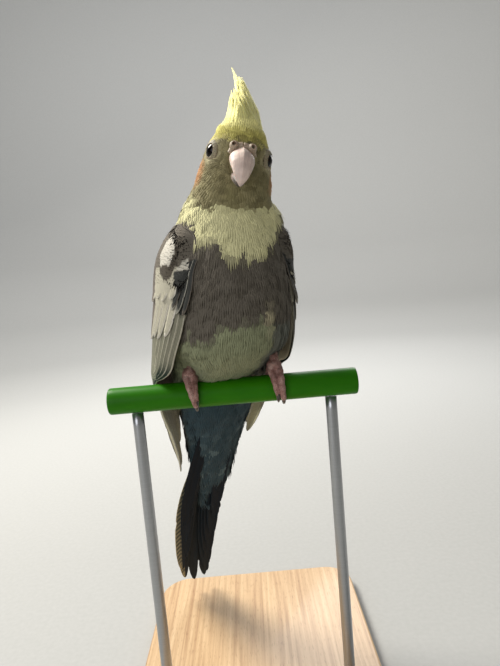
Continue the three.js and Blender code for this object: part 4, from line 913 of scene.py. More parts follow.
bar_worn = add_node(tree, "ShaderNodeMath", {0: wear, 1: 4.0, 2: bar_sine}, operation="MULTIPLY_ADD").outputs[0]
bar_edge = add_node(tree, "ShaderNodeMapRange", {"Value": bar_worn, "From Min": -0.2, "From Max": 0.5}).outputs[0]
bars = add_node(tree, "ShaderNodeMath", {0: bar_edge, 1: own["Y"]}, operation="MULTIPLY").outputs[0]
pale = add_node(tree, "ShaderNodeMath", {0: fringe, 1: bars}, operation="MAXIMUM").outputs[0]
two = add_node(tree, "ShaderNodeMix", {"Factor": pale, 6: read["marking"].outputs["Color"],
    7: read["edging"].outputs["Color"]}, data_type="RGBA").outputs[2]
shaft_line = add_node(tree, "ShaderNodeMapRange", {"Value": away, "From Min": 0.03, "From Max": 0.075,
    "To Min": 0.62, "To Max": 1.0}).outputs[0]
streak = add_node(tree, "ShaderNodeMapRange", {"Value": barbs.outputs["Fac"], "From Min": 0.3, "From Max": 0.7,
    "To Min": 0.84, "To Max": 1.12}).outputs[0]
level = add_node(tree, "ShaderNodeMapRange", {"Value": own["X"], "To Min": 0.9, "To Max": 1.1}).outputs[0]
a = add_node(tree, "ShaderNodeMath", {0: shaft_line, 1: streak}, operation="MULTIPLY").outputs[0]
b = add_node(tree, "ShaderNodeMath", {0: a, 1: level}, operation="MULTIPLY").outputs[0]
shaded = add_node(tree, "ShaderNodeVectorMath", {0: two, "Scale": b}, operation="SCALE").outputs[0]
tree.links.new(shaded, shader.inputs["Base Color"])
set_bump(tree, shader, barbs.outputs["Fac"], 0.35, 0.1)

# the dark tone serves the dark V of coverts under the white patch, and also a painted shade beside the front of the
# shoulder
WING_TONES = {"shoulder": "#6B6459", "dark": "#4F483E", "white": "#CDC8BB", "band": "#B4AF9C", "quill": "#848270",
    "grey web": "#706E63", "alula": "#3A3B38", "fringe": "#B5B2A4", "scapular": "#6A6259", "tertial": "#6F685F",
    "tip": "#23302B", "grey fringe": "#A69E92", "tuft": "#BFBAAC", "cream": "#C9C3A0", "breast": TONES["breast"]}
WING_TONE = {name: np.array(linear(code)) for name, code in WING_TONES.items()}


def wing_mark(z, angle, mirror):
    """Names of the inner colour and edge colour of a feather at a place of the folded wing."""
    if angle < (92 if z > 37 else 84):
        return "scapular", "grey fringe"
    if mirror < 0:
        patch = np.interp(z, (56.8, 61.5, 66, 69), (6.5, 10.5, 7, 0))
        if 56.8 < z < 69 and abs(angle - 108.5) < patch:
            return "white", "white"
        if 50.6 < z <= 56.8 and abs(angle - 111) < 10 * (1 - 0.8 * ((56.8 - z) / 6.4) ** 2):
            return "dark", "dark"
        # painted shade: the strip between the white patch and the front of the shoulder, where the wing meets the
        # breast, is given the dark tone
        if 56.8 < z < 64 and 115 < angle < 123:
            return "dark", "dark"
        if 54.3 < z <= 58.5 and angle >= 131 - 2.2 * (58.5 - z):
            return "tuft", "tuft"
        if 36 < z <= 54.3 and angle >= 120:
            return "alula", "fringe"
    if z > 56:
        return ("breast", "breast") if angle > 126 else ("shoulder", "shoulder")
    if mirror > 0 and z > 50:
        return "alula", "fringe"
    return "band", "white"


def wing_vane(tier, i, mirror):
    name, shape, count, across, root, tip, widths, lifts, tilt, rows, shaft = tier
    k = i / (count - 1)
    u, width = np.interp(k, (0, 1), across), np.interp(k, (0, 1), widths)
    z0, z1 = np.interp(k, (0, 1), root), np.interp(k, (0, 1), tip)
    seed = hash_of(name) + i * 7 + (mirror > 0) * 1000
    rng = np.random.default_rng(seed)
    drop, sway = rng.uniform(-1.5, 1.5), rng.uniform(-1.8, 1.8)
    if name in ("primaries", "secondaries"):
        drop += 24 if mirror > 0 else 9

    def place(t, side, out):
        z = z0 + (z1 + drop - z0) * t
        span = sizes_at(SPAN, z)
        middle = span[..., 1] + (span[..., 2] - span[..., 1]) * u
        angle = middle + turn_of(GUIDE, z, middle, side * width / 2 + sway * t)
        lift = lifts[0] + (lifts[1] - lifts[0]) * t + span[..., 4] * u + tilt * side + out
        p = surface_at(GUIDE, z, angle, lift)
        p[..., 0] *= mirror
        return posed(p, 0)
    made = vane(place, shape, rows, seed, shaft)
    z = z0 + (z1 - z0) * 0.7
    span = sizes_at(SPAN, np.array([z]))[0]
    inner, edge = wing_mark(z, span[1] + (span[2] - span[1]) * u, mirror)
    border = 0.22
    if shape == "quill":
        inner, edge, border = ("quill", "band", 0.3) if u < 0.45 else ("grey web", "quill", 0.4)
        if mirror > 0:
            inner, edge, border = "alula", "band", 0.16
        if u > 0.7:
            inner, edge, border = "tertial", "grey fringe", 0.2
    if name == "alula":
        inner, edge, border = "alula", "fringe" if i % 2 else "scapular", 0.24
    within = WING_TONE[inner]
    height = z0 + (z1 + drop - z0) * made[2][:, 1:]
    if name == "primaries" and i < 3:
        within = within + (WING_TONE["tip"] - within) * smooth(height, 19, 11)
    if shape == "quill" and u < 0.7:
        within = within + (WING_TONE["cream"] - within) * smooth(height, -4, -11)
    return made, within, WING_TONE[edge], z0 - z1, 0.0, border


def hash_of(name):
    return sum(ord(letter) * (k + 3) for k, letter in enumerate(name))


for word, mirror in (("right", -1), ("left", 1)):
    z = np.linspace(-6, 74, CORE_LEVELS)[:, None]
    u = np.linspace(0, 1, CORE_COLUMNS)[None]
    span = sizes_at(SPAN, z)
    angle = span[..., 1] - 3 + (span[..., 2] + 6 - span[..., 1]) * u
    rim = np.sqrt(np.clip(1 - np.abs(2 * u - 1) ** 5, 0, 1)) * np.sqrt(np.clip((76.5 - z) / 8, 0, 1))
    fuller = 0.9 * smooth(z, 50, 62) if mirror > 0 else 0
    over = surface_at(GUIDE, z, angle, (span[..., 3] + span[..., 4] * u + fuller) * rim)
    # over the shoulder the front of the wing sinks into the breast, so that their feathers run together
    free = 1 - (1 - smooth(u, 0.0, 0.24)) * smooth(z, 52, 60)
    sunk = surface_at(TRUNK, z, angle, -0.2)
    over = sunk + (over - sunk) * free[..., None]
    under = surface_at(GUIDE, z, angle, -span[..., 5] * np.clip(rim, 0.3, 1))
    lowest = surface_at(TRUNK, z, angle, -0.4)
    middle = np.stack([0 * angle, sizes_at(GUIDE, z)[..., 1] + 0 * angle, z + 0 * angle], -1)
    nearer = np.linalg.norm(under - middle, axis=-1) < np.linalg.norm(lowest - middle, axis=-1)
    under = np.where(nearer[..., None], lowest, under)
    under, over = under * [mirror, 1, 1], over * [mirror, 1, 1]
    count = CORE_LEVELS * CORE_COLUMNS
    rim_way = [*range(CORE_COLUMNS), *range(2 * CORE_COLUMNS - 1, count, CORE_COLUMNS),
        *range(count - 2, count - CORE_COLUMNS - 1, -1), *range(count - 2 * CORE_COLUMNS, 0, -CORE_COLUMNS)]
    faces = grid_faces(CORE_LEVELS, CORE_COLUMNS, closed=False)
    belt = [[a, b, b + count, a + count] for a, b in zip(rim_way, rim_way[1:] + rim_way[:1])]
    points = posed(np.concatenate([under.reshape(-1, 3), over.reshape(-1, 3)]), 0)
    arm = new_piece(f"wing_arm_{word}", points, faces.tolist() + (faces + count).tolist() + belt, plumage, "wing")
    flat_z, flat_angle = (np.broadcast_to(x, angle.shape).ravel() for x in (z, angle))
    # where the front sinks into the breast, the marks are laid out by how far the surface stands out sideways
    reach = np.abs(over[..., 0]) / (sizes_at(GUIDE, z)[..., 2] + span[..., 3] + span[..., 4] * u)
    seen = np.where(angle > 92, 180 - np.degrees(np.arcsin(np.clip(reach, 0, 1))), angle)
    flat_angle = np.where(z > 52, np.maximum(seen, angle), angle).ravel()
    soft_z = flat_z + 0.7 * ragged(flat_angle * 0.7, flat_z * 0.4, 21)
    soft_angle = flat_angle + 1.2 * ragged(flat_angle * 0.3, flat_z * 0.8, 22)
    # the shoulder coat takes these tones too, including the painted shade strip beside the front of the shoulder
    tones = [WING_TONE[wing_mark(zz - 1.3, aa, mirror)[0]] for zz, aa in zip(soft_z, soft_angle)]
    store(arm.data, "marking", "FLOAT_COLOR", np.concatenate([tones, tones]))
    store(arm.data, "tone", "FLOAT", np.full(2 * count, 0.4))
    straight = over.reshape(-1, 3)
    moved = posed(straight + np.array([0, 0.3, -1.0]) * STEP, 0) - posed(straight, 0)
    moved /= np.linalg.norm(moved, axis=1, keepdims=True)
    store(arm.data, "lie", "FLOAT_VECTOR", np.concatenate([moved, moved]))
    size = np.stack([np.full(count, 4.4), 5.0 + 2.6 * smooth(-flat_z, -70, -58), np.full(count, 0.9)], -1) * MM
    store(arm.data, "feather", "FLOAT_VECTOR", np.concatenate([size, size]))
    mask = (flat_z > np.where(flat_angle > 120, 54.0, 50.5)).astype(float)
    store(arm.data, "on_shoulder", "FLOAT", np.concatenate([mask * 0, mask]))
    corners = np.zeros(len(arm.data.loops), int)
    arm.data.loops.foreach_get("vertex_index", corners)
    spot = np.stack([0.02 + 0.46 * u + 0 * angle, 0.02 + 0.96 * (z - z.min()) / np.ptp(z) + 0 * angle], -1)
    spot = np.concatenate([spot.reshape(-1, 2), spot.reshape(-1, 2) + [0.5, 0]])
    arm.data.uv_layers.new(name="OFBake").data.foreach_set("uv", spot[corners].astype(np.float32).ravel())
    grow_coat(f"shoulder_{word}", arm, "wing", Feather=large_feather, Region="on_shoulder", Spacing=1.25 * MM,
        Seed=5 + mirror, **SHARED)
    vanes = [wing_vane(tier, i, mirror) for tier in WING_TIERS for i in range(tier[2])]
    new_vanes(f"wing_vanes_{word}", vanes, flight, "wing", [f"wing_{word}"])

# Tail: twelve long graduated feathers, stacked and closed, the middle pair longest. Soft blue-grey
# under coverts and shorter upper coverts lie over their roots.
TAIL_AT, TAIL_SLOPE = (26.0, -14.0), np.radians(60.5)
TAIL_PAIRS, TAIL_STEP, TAIL_BURIED, TAIL_BOW = 6, 0.85, 6.0, -6.0
TAIL_LENGTH, TAIL_WIDTH = (150.0, 82.0), (8.6, 7.6)
TAIL_ROOT, TAIL_TIP = (1.8, 6.2), (3.6, 12.0)
# name, count, around, root, tip, width, lift
TAIL_TIERS = [("long under coverts", 5, (202, 158), -36, -78, 5.0, (-1.0, 0.3)),
    ("middle under coverts", 7, (222, 138), -24, -58, 5.4, (-1.2, 0.4)),
    ("long upper coverts", 5, (-42, 42), -18, -54, 7.6, (-0.8, 0.9)),
    ("short upper coverts", 6, (-48, 48), -6, -34, 8.0, (-1.0, 1.3))]
TAIL_TONES = {"slate": "#061A26", "black blue": "#051622", "under covert": "#33424A", "covert edge": "#3B4A50",
    "pale": "#B3A884", "grey": "#55564D", "upper covert": "#6E6A63", "upper edge": "#A8A293"}
TAIL_TONE = {name: np.array(linear(code)) for name, code in TAIL_TONES.items()}


def tail_quill(pair, side):
    k = pair / (TAIL_PAIRS - 1)
    length = np.interp(k ** 1.4, (0, 1), TAIL_LENGTH)
    half = np.interp(k, (0, 1), TAIL_WIDTH) / 2
    height = -TAIL_STEP * (pair + 1 if pair > 0 or side < 0 else 0)
    along = np.array([0, np.cos(TAIL_SLOPE), -np.sin(TAIL_SLOPE)])
    up = np.array([0, np.sin(TAIL_SLOPE), np.cos(TAIL_SLOPE)])

    def place(t, edge, out):
        run = TAIL_BURIED + (length - TAIL_BURIED) * t
        share = run / TAIL_LENGTH[0]
        root, tip = np.interp(k, (0, 1), TAIL_ROOT), np.interp(k, (0, 1), TAIL_TIP)
        fan = (4.5 if side < 0 and pair in (1, 2) else 0) * smooth(share, 0.1, 0.5)
        aside = side * (root + (tip - root) * share + fan) + TAIL_BOW * np.sin(np.pi * share) + edge * half
        p = np.stack([aside, TAIL_AT[0] + 0 * aside, TAIL_AT[1] + 0 * aside], -1)
        p = p + run[..., None] * along + (height + out)[..., None] * up
        return posed(p, 0)
    made = vane(place, "quill", 64, 400 + pair * 2 + (side > 0), shaft=-0.12 * side * (pair > 0), camber=0.3)
    outer = (made[2][:, :1] * side > -0.3) if side < 0 and pair in (1, 2) else (made[2][:, :1] > 9)
    tone = TAIL_TONE["slate" if pair < 2 else "black blue"]
    inner = np.where(outer, TAIL_TONE["grey"], tone)
    return made, inner, np.where(outer, TAIL_TONE["pale"], TAIL_TONE["slate"]), length, 0.55 * outer[:, 0], 0.12


def tail_covert(tier, i):
    name, count, around, z0, z1, width, lifts = tier
    middle = np.interp(i / (count - 1), (0, 1), around)
    rng = np.random.default_rng(hash_of(name) + i)
    drop = rng.uniform(-2.5, 2.5)

    def place(t, side, out):
        z = z0 + (z1 + drop - z0) * t
        angle = middle + turn_of(TRUNK, z, middle + 0 * z, side * width / 2)
        return posed(surface_at(TRUNK, z, angle, lifts[0] + (lifts[1] - lifts[0]) * t + out), 0)
    made = vane(place, "covert", 30, hash_of(name) + i, camber=0.4)
    under = "under" in name
    return (made, TAIL_TONE["under covert" if under else "upper covert"],
        TAIL_TONE["covert edge" if under else "upper edge"], z0 - z1, 0.0, 0.25)


vanes = [tail_quill(pair, side) for pair in range(TAIL_PAIRS) for side in (-1, 1)]
new_vanes("tail_quills", vanes, flight, "tail", ["tail"])
new_vanes("tail_coverts", [tail_covert(tier, i) for tier in TAIL_TIERS for i in range(tier[1])], flight, "tail")

# Bill: horn over bone, grown as one hard shell. The upper half hooks over the lower, with a ridge down
# its middle and a flatter facet each side. It is pinkish beige, worn paler at the edges.
UPPER_BILL = np.array([(-23.5, 103.0, -23.5, 95, 4.3), (-29, 103.2, -28, 94.6, 4.6), (-32.8, 102.1, -31.2, 94, 4.6),
    (-35.8, 99.6, -33.4, 93.2, 4.0), (-37.6, 96.2, -34.9, 92.2, 3.15), (-38.1, 92.8, -35.9, 91, 2.1),
    (-37.3, 89.4, -36.7, 89.3, 0.35)])
LOWER_BILL = np.array([(-23.5, 95.4, -23.5, 90.2, 3.1), (-27.5, 95.0, -28.0, 89.7, 2.8),
    (-31.0, 94.0, -31.5, 89.1, 2.2), (-33.6, 92.5, -34.0, 89.2, 1.5), (-35.0, 90.9, -35.2, 90.0, 0.6)])
BILL_SIDES, BILL_ROWS = 72, 60


def bill_half(rows, roundness):
    """A smooth loft through the rows of one half of the bill, with flatter facets that meet in a ridge."""
    keyed = np.column_stack([np.arange(len(rows)), rows])
    at = np.linspace(0, len(rows) - 1, BILL_ROWS)
    s = sizes_at(keyed, at)[:, 1:]
    ridge, edge, half = s[:, 0:2], s[:, 2:4], s[:, 4]
    middle, arm = (ridge + edge) / 2, (ridge - edge) / 2
    a = np.linspace(0, 2 * np.pi, BILL_SIDES, endpoint=False)
    cos, sin = np.cos(a), np.sin(a)
    roof = np.sign(sin) * (1 - np.abs(cos) ** roundness)
    growth = 1 + 0.006 * np.sin(at * 9)[:, None] + 0 * a
    x = half[:, None] * np.where(cos > 0, roof, (1 - 0.1 * cos ** 2) * sin) * growth
    yz = middle[:, None] + arm[:, None] * (cos[:, None]) * growth[..., None]
    return posed(np.concatenate([x[..., None], yz], -1), 1)


# Bill horn: translucent keratin in pinkish beige, mauve in shade, with fine growth lines round it about
# 0.6 mm apart and faint streaks along it that dull its polish
bill_horn, tree, shader = new_finish("bill horn", Roughness=0.5, IOR=1.54, Specular_IOR_Level=0.3,
    Subsurface_Weight=0.12, Subsurface_Scale=0.0015, Subsurface_Radius=(1.0, 0.5, 0.4))
along = add_node(tree, "ShaderNodeAttribute", attribute_name="vane").outputs["Vector"]
part = add_node(tree, "ShaderNodeSeparateXYZ", {"Vector": along}).outputs
stretch = add_node(tree, "ShaderNodeCombineXYZ", {"X": part["X"], "Y": part["Y"]}).outputs[0]
streaks = add_node(tree, "ShaderNodeTexNoise", {"Vector": stretch, "Scale": 3.0, "Detail": 4.0, "Roughness": 0.6})
blotch = add_node(tree, "ShaderNodeTexNoise", {"Vector": grain_place(tree, (3, 3, 3)), "Scale": 1.0, "Detail": 2.0})
warm = ramp(tree, streaks.outputs["Fac"], [(0.3, "#D0B9AE"), (0.5, "#E0CBBE"), (0.7, "#EADACD")])
cool = ramp(tree, blotch.outputs["Fac"], [(0.35, "#A8959A"), (0.7, "#FFFFFF")])
horn = add_node(tree, "ShaderNodeMix", {"Factor": 0.35, 6: warm, 7: cool}, data_type="RGBA", blend_type="MULTIPLY")
# the grey mix darkens the upper half towards its tip, and darkens the lower half throughout as painted shade under
# the hook of the upper
tip_and_painted_shade = add_node(tree, "ShaderNodeMapRange", {"Value": part["Z"], "From Min": 0.35, "From Max": 0.9}).outputs[0]
grey = add_node(tree, "ShaderNodeMix", {"Factor": tip_and_painted_shade, 6: horn.outputs[2], 7: linear("#57504A")},
    data_type="RGBA")
tree.links.new(grey.outputs[2], shader.inputs["Base Color"])
set_bump(tree, shader, streaks.outputs["Fac"], 0.3, 0.08)


def new_bill(name, rows, roundness, dark, node):
    """One half of the bill, with its place round and along and its share of dark grey for the material: darker
    towards the tip of the upper half, and painted shade over the lower half under the hook.
    """
    rings = bill_half(rows, roundness)
    piece = new_piece(name, *loft(rings), bill_horn, "bill", [node])
    lengthways = np.linspace(0, 1, BILL_ROWS)[:, None] + 0 * rings[..., 0]
    around = np.linspace(0, 1, BILL_SIDES, endpoint=False)[None] + 0 * rings[..., 0]
    ends = np.abs(2 * around - 1) * 9
    values = np.stack([ends, lengthways * 1.2, dark(lengthways)], -1)
    store(piece.data, "vane", "FLOAT_VECTOR", skin_values(values))


new_bill("bill_upper_horn", UPPER_BILL, 2.3, lambda t: 0.45 * smooth(t, 0.8, 1.0), "bill_upper")
# painted shade: the lower half lies under the hook of the upper, so most of it is mixed to dark grey
new_bill("bill_lower_horn", LOWER_BILL, 2.0, lambda t: 0.55 + 0.4 * smooth(t, 0.2, 0.6), "bill_lower")

# Cere: a band of bare waxy skin over the root of the bill, pinkish grey and finely wrinkled, with a
# round open nostril in a swelling on each side. It grows from the skin of the forehead.
CERE_HALF, CERE_LOW, CERE_TOP, CERE_Y, CERE_TUBE = 5.1, 97.5, 103.5, -28.0, 1.35
NOSTRIL_X, NOSTRIL_RADIUS, NOSTRIL_DEPTH, NOSTRIL_REACH = 3.35, 0.8, 1.9, 1.6
NOSTRIL_SWELLING = [1.85, 1.9, 1.8]
cere_skin, tree, shader = new_finish("waxy cere skin", Roughness=0.55, Subsurface_Weight=0.15,
    Subsurface_Scale=0.001, Subsurface_Radius=(1.0, 0.45, 0.35))
wrinkle = add_node(tree, "ShaderNodeTexNoise", {"Vector": grain_place(tree, (0.7, 0.7, 0.5)), "Scale": 1.0,
    "Detail": 5.0, "Roughness": 0.7})
tree.links.new(ramp(tree, wrinkle.outputs["Fac"], [(0.3, "#82725F"), (0.55, "#AE9B86"), (0.75, "#C6B49F")]),
    shader.inputs["Base Color"])
set_bump(tree, shader, wrinkle.outputs["Fac"], 0.7, 0.25)
a = np.linspace(0.12, 0.88, 40) * np.pi
arch = CERE_LOW + (CERE_TOP - CERE_LOW) * np.sin(a) ** 0.75
path = np.stack([-CERE_HALF * np.cos(a), CERE_Y + 0.3 + 0.6 * np.sin(a), arch], -1)
parts = [tube(path, CERE_TUBE * (0.35 + 0.75 * np.sin(a)), 20)]
parts += [ball([side * NOSTRIL_X, CERE_Y + 0.5, CERE_TOP - 0.3], NOSTRIL_SWELLING) for side in (-1, 1)]
cere = new_piece("cere_skin", *joined(parts), cere_skin, "cere", ["cere"])
mesh = fuse(cere, 0.16, 4)
points = np.zeros(len(mesh.vertices) * 3)
mesh.vertices.foreach_get("co", points)
points = points.reshape(-1, 3) / MM
for side in (-1, 1):
    mouth = np.array([side * (NOSTRIL_X + 0.4), CERE_Y - 1.3, CERE_TOP + 0.55])
    axis = np.array([-side * 0.2, 0.94, -0.28])
    axis /= np.linalg.norm(axis)
    from_mouth = points - mouth
    inward = from_mouth @ axis
    off_axis = np.linalg.norm(from_mouth - inward[:, None] * axis, axis=1)
    pit = np.clip(1 - (off_axis / NOSTRIL_RADIUS) ** 4, 0, 1) * (inward < NOSTRIL_REACH)
    lip = np.exp(-((off_axis - NOSTRIL_RADIUS * 1.25) / 0.3) ** 2) * (inward < NOSTRIL_REACH)
    points = points + (pit * NOSTRIL_DEPTH - lip * 0.18)[:, None] * axis
mesh.vertices.foreach_set("co", (posed(points, 1) * MM).astype(np.float32).ravel())
mesh.update()

# Eyes: wet dark balls set a little back in bare lids, nearly black with a deep brown iris. In life the
# clear cornea over them takes one small bright highlight from the light above.
EYE_RADIUS = 3.6
LID_STEPS, LID_SIDES = 96, 18
LID_RADIUS, LID_WIDE, LID_THICK, LID_OUT, LID_SLOPE = 3.15, 0.78, 0.34, 2.35, 0.7
eye_gloss, tree, shader = new_finish("wet dark eye", Roughness=0.04, IOR=1.36, Specular_IOR_Level=0.3)
around = add_node(tree, "ShaderNodeAttribute", attribute_name="around").outputs["Fac"]
tree.links.new(ramp(tree, around, [(0.0, "#030202"), (0.36, "#040303"), (0.46, "#150C08"), (0.62, "#0F0906"),
    (0.75, "#060404")]), shader.inputs["Base Color"])
lid_skin, tree, shader = new_finish("bare lid skin", Roughness=0.6, Subsurface_Weight=0.1, Subsurface_Scale=0.0006)
crease = add_node(tree, "ShaderNodeTexNoise", {"Vector": grain_place(tree, (0.4, 0.4, 0.4)), "Scale": 1.0,
    "Detail": 4.0})
tree.links.new(ramp(tree, crease.outputs["Fac"], [(0.3, "#6E6450"), (0.7, "#A0967A")]), shader.inputs["Base Color"])
set_bump(tree, shader, crease.outputs["Fac"], 0.5, 0.1)
for word, side in (("right", -1), ("left", 1)):
    centre = EYE_AT * [side, 1, 1]
    outward = EYE_OUT * [side, 1, 1] / np.linalg.norm(EYE_OUT)
    u = np.array([0, 0, 1.0]) - outward[2] * outward
    u /= np.linalg.norm(u)
    v = np.cross(outward, u)
    polar = np.linspace(0.02, np.pi - 0.02, 40)[:, None]
    turn = np.linspace(0, 2 * np.pi, 64, endpoint=False)[None]
    reach = EYE_RADIUS * (1 + 0.035 * np.exp(-(polar / 0.6) ** 2))
    rings = centre + (reach * np.cos(polar) + 0 * turn)[..., None] * outward
    rings = rings + (reach * np.sin(polar) * np.cos(turn))[..., None] * u
    rings = rings + (reach * np.sin(polar) * np.sin(turn))[..., None] * v
    eye = new_piece(f"eye_ball_{word}", *loft(posed(rings, 1)), eye_gloss, "eye", [f"eye_{word}"])
    store(eye.data, "around", "FLOAT", skin_values((polar + 0 * turn)[..., None])[:, 0])
    b = np.linspace(0, 2 * np.pi, LID_SIDES, endpoint=False)[None]
    a = np.linspace(0, 2 * np.pi, LID_STEPS, endpoint=False)[:, None]
    fold = 1 + 0.1 * np.sin(a * 17) + 0.08 * np.sin(a * 29 + 1)
    arm = LID_RADIUS + LID_WIDE * np.cos(b)
    rise = LID_THICK * fold * np.sin(b) - LID_SLOPE * LID_WIDE * np.cos(b)
    lid = centre + outward * LID_OUT + (arm * np.cos(a))[..., None] * u * 1.04
    lid = lid + (arm * np.sin(a))[..., None] * v * 0.97 + rise[..., None] * outward
    points = posed(lid, 1).reshape(-1, 3)
    i, j = np.meshgrid(np.arange(LID_STEPS), np.arange(LID_SIDES), indexing="ij")
    here, ahead, j2 = i * LID_SIDES, (i + 1) % LID_STEPS * LID_SIDES, (j + 1) % LID_SIDES
    faces = np.stack([here + j, ahead + j, ahead + j2, here + j2], -1).reshape(-1, 4)
    new_piece(f"lid_ring_{word}", points, faces, lid_skin, "cere")

# Crest: long narrow yellow plumes rise from the forehead and crown in rows, gather to a point and lean
# a little to the right. The longest grow at the back and the shortest over the bill.
CREST_FORE = [-10, -4, 6, 22, 38, 52]
CREST_LENGTH = [26, 22, 19, 16, 12.5, 9.5]
CREST_RISE, CREST_BEND = [41, 43, 45, 50, 55, 60], [22, 21, 20, 18, 16, 14]
# how far forward a row starts, its plumes, and how far aside the outer ones are
CREST_ROWS = [(52, 10, 40), (47, 12, 46), (42, 13, 49), (37, 13, 50), (32, 12, 48), (27, 12, 44), (22, 11, 38),
    (17, 10, 30), (12, 9, 22), (6, 7, 15), (0, 6, 10), (-5, 5, 7), (-10, 4, 4)]
CREST_WIDTH, CREST_CURL, CREST_GATHER, CREST_LEAN, CREST_BASE = 2.5, 0.18, 0.62, -7.0, 2.2
CREST_TONES = {"yellow": "#FFF79E", "deep": "#FAEF86"}
CREST_TONE = {name: np.array(linear(code)) for name, code in CREST_TONES.items()}


def crown_at(fore, aside, out):
    s = sizes_at(TRUNK, np.array(CROWN_Z))
    f, a = np.radians(fore), np.radians(aside)
    n = np.array([np.sin(a), -np.sin(f) * np.cos(a), np.cos(f) * np.cos(a)])
    reach = np.array([s[2], s[3] if fore > 0 else s[4], CROWN_HEIGHT])
    normal = n / reach
    return n * reach + [0, s[1], CROWN_Z] + out * normal / np.linalg.norm(normal)


def crest_plume(fore, aside, seed):
    rng = np.random.default_rng(seed)
    length = np.interp(fore, CREST_FORE, CREST_LENGTH) * rng.uniform(0.86, 1.1)
    rise = np.interp(fore, CREST_FORE, CREST_RISE) + rng.uniform(-3, 3)
    bend = np.interp(fore, CREST_FORE, CREST_BEND)
    root = crown_at(fore, aside + rng.uniform(-2, 2), -1.9)
    half = CREST_WIDTH / 2 * np.interp(fore, (10, 66), (1.1, 0.7))
    sway = rng.uniform(-0.8, 0.8)

    def place(t, side, out):
        angle = np.radians(rise + bend * (t - 0.5))
        run = length * t
        x = root[0] * (1 - CREST_GATHER * t) + CREST_BASE * (1 - smooth(fore, 14, 44)) * smooth(t, 0, 0.6)
        x = x + (CREST_LEAN * length / 24 + sway) * t * t + side * half
        lift = out - CREST_CURL * half * np.abs(side)
        return posed(np.stack([x, root[1] + run * np.cos(angle) - lift * np.sin(angle),
            root[2] + run * np.sin(angle) + lift * np.cos(angle)], -1), 1)
    made = vane(place, "plume", 20, seed, camber=0.1, thick=0.16)
    return made, CREST_TONE["yellow"], CREST_TONE["deep"], length, 0.0, 0.12


# Crest plumes: the barbs are loose and soft, so the yellow is matt, lets some light through and is a
# little deeper along each shaft
CREST_SHARE, CREST_UP, CREST_FRONT = 0.72, 1.6, (0, -0.004, 0)
crest_soft = flight.copy()
crest_soft.name = "soft crest plumes"
for key, value in {"Specular IOR Level": 0.05, "Sheen Weight": 0.0, "Subsurface Weight": 0.3,
        "Subsurface Scale": 0.004, "Subsurface Radius": (1.0, 0.95, 0.5)}.items():
    crest_soft.node_tree.nodes["Principled BSDF"].inputs[key].default_value = value
vanes = []
for k, (fore, count, aside) in enumerate(CREST_ROWS):
    for i in range(count):
        vanes.append(crest_plume(fore, aside * (2 * (i + 0.25 * (k % 2)) / (count - 1) - 1), 900 + k * 20 + i))
crest = new_vanes("crest_plumes", vanes, crest_soft, "crest", ["crest"])
# a crest scatters light as one soft plume, so its shading leans on the form of the whole
spots, own = (np.empty(len(crest.data.vertices) * 3) for _ in range(2))
crest.data.vertices.foreach_get("co", spots)
crest.data.vertex_normals.foreach_get("vector", own)
whole = spots.reshape(-1, 3) - spots.reshape(-1, 3).mean(0) + CREST_FRONT
whole[:, 2] = CREST_UP * np.linalg.norm(whole[:, :2], axis=1)
whole /= np.linalg.norm(whole, axis=1, keepdims=True)
crest.data.normals_split_custom_set_from_vertices(CREST_SHARE * whole + (1 - CREST_SHARE) * own.reshape(-1, 3))

# Floor, light and camera: a plain pale studio sweep, one broad soft light from the upper left, and a
# camera at the place that the photograph was taken from.
SWEEP = [(1.0, 0.0), (900.0, 0.0), (1200.0, 20.0), (1450.0, 110.0), (1600.0, 300.0), (1650.0, 700.0),
    (1660.0, 2600.0)]
SWEEP_SIDES = 96
turn = np.linspace(0, 2 * np.pi, SWEEP_SIDES, endpoint=False)
rings = [np.stack([r * np.cos(turn), r * np.sin(turn), np.full(turn.shape, h)], -1) for r, h in SWEEP]
sweep_faces = grid_faces(len(SWEEP), SWEEP_SIDES).tolist() + [list(range(SWEEP_SIDES))]
sweep_mesh = bpy.data.meshes.new("studio_sweep")
sweep_mesh.from_pydata((np.concatenate(rings) * MM).tolist(), [], sweep_faces)
sweep_mesh.shade_smooth()
sweep = bpy.data.objects.new("studio_sweep", sweep_mesh)
bpy.context.scene.collection.objects.link(sweep)
paper, tree, shader = new_finish("pale background paper", Roughness=0.9)
fibre = add_node(tree, "ShaderNodeTexNoise", {"Vector": grain_place(tree, (3, 3, 3)), "Scale": 1.0, "Detail": 4.0})
tree.links.new(ramp(tree, fibre.outputs["Fac"], [(0.3, "#A4A4A2"), (0.7, "#A9A9A7")]), shader.inputs["Base Color"])
sweep_mesh.materials.append(paper)


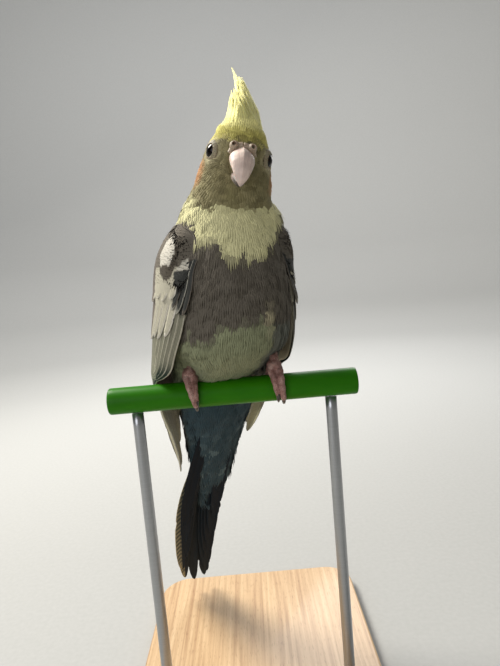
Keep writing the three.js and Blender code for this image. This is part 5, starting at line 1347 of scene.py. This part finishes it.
def area_light(name, place, aim, size, power, tint):
    """A round soft light at a place, aimed at another, both in metres, with its size and its watts."""
    lamp = bpy.data.lights.new(name, "AREA")
    lamp.shape, lamp.size, lamp.energy, lamp.color = "DISK", size, power, linear(tint)[:3]
    made = bpy.data.objects.new(name, lamp)
    made.location = place
    made.rotation_mode = "QUATERNION"
    made.rotation_quaternion = (Vector(aim) - Vector(place)).to_track_quat("-Z", "Y")
    bpy.context.scene.collection.objects.link(made)


area_light("window light", (-0.55, 0.28, 1.0), (0, 0, 0.2), 0.5, 19.0, "#FFFBF2")
area_light("front light", (-0.6, -0.9, 0.45), (0, 0, 0.18), 0.8, 4.2, "#F6F6FC")
area_light("back light", (0.3, 0.9, 0.8), (0, 0, 0.2), 0.7, 6.0, "#FFFFFF")
area_light("wall light", (0, 0.55, 1.0), (0, 1.6, 0.55), 0.7, 11.0, "#FFFFFF")
world = bpy.data.worlds.new("soft room")
bpy.context.scene.world = world
world.use_nodes = True
world.node_tree.nodes["Background"].inputs["Color"].default_value = linear("#E8ECF0")
world.node_tree.nodes["Background"].inputs["Strength"].default_value = 0.46

# where the picture was taken from in mm, how far the camera looks down and is rolled in degrees, and its
# focal length in pixels of a picture that is 666 pixels high
CAMERA_AT = np.array([9.9546, -250.0, 212.943])
CAMERA_DOWN, CAMERA_ROLL = 6.5, -5.0
SENSOR, FOCAL_PIXELS, PICTURE_PIXELS = 36.0, 500, 666
camera_data = bpy.data.cameras.new("camera")
camera_data.sensor_width = SENSOR
camera_data.lens = SENSOR * FOCAL_PIXELS / PICTURE_PIXELS
camera = bpy.data.objects.new("camera", camera_data)
bpy.context.scene.collection.objects.link(camera)
camera.location = CAMERA_AT * MM
camera.rotation_mode = "QUATERNION"
camera.rotation_quaternion = (Euler((np.radians(90 - CAMERA_DOWN), 0, 0)).to_quaternion()
    @ Quaternion((0, 0, 1), np.radians(CAMERA_ROLL)))
bpy.context.scene.camera = camera
bpy.context.scene.view_settings.view_transform = "Standard"
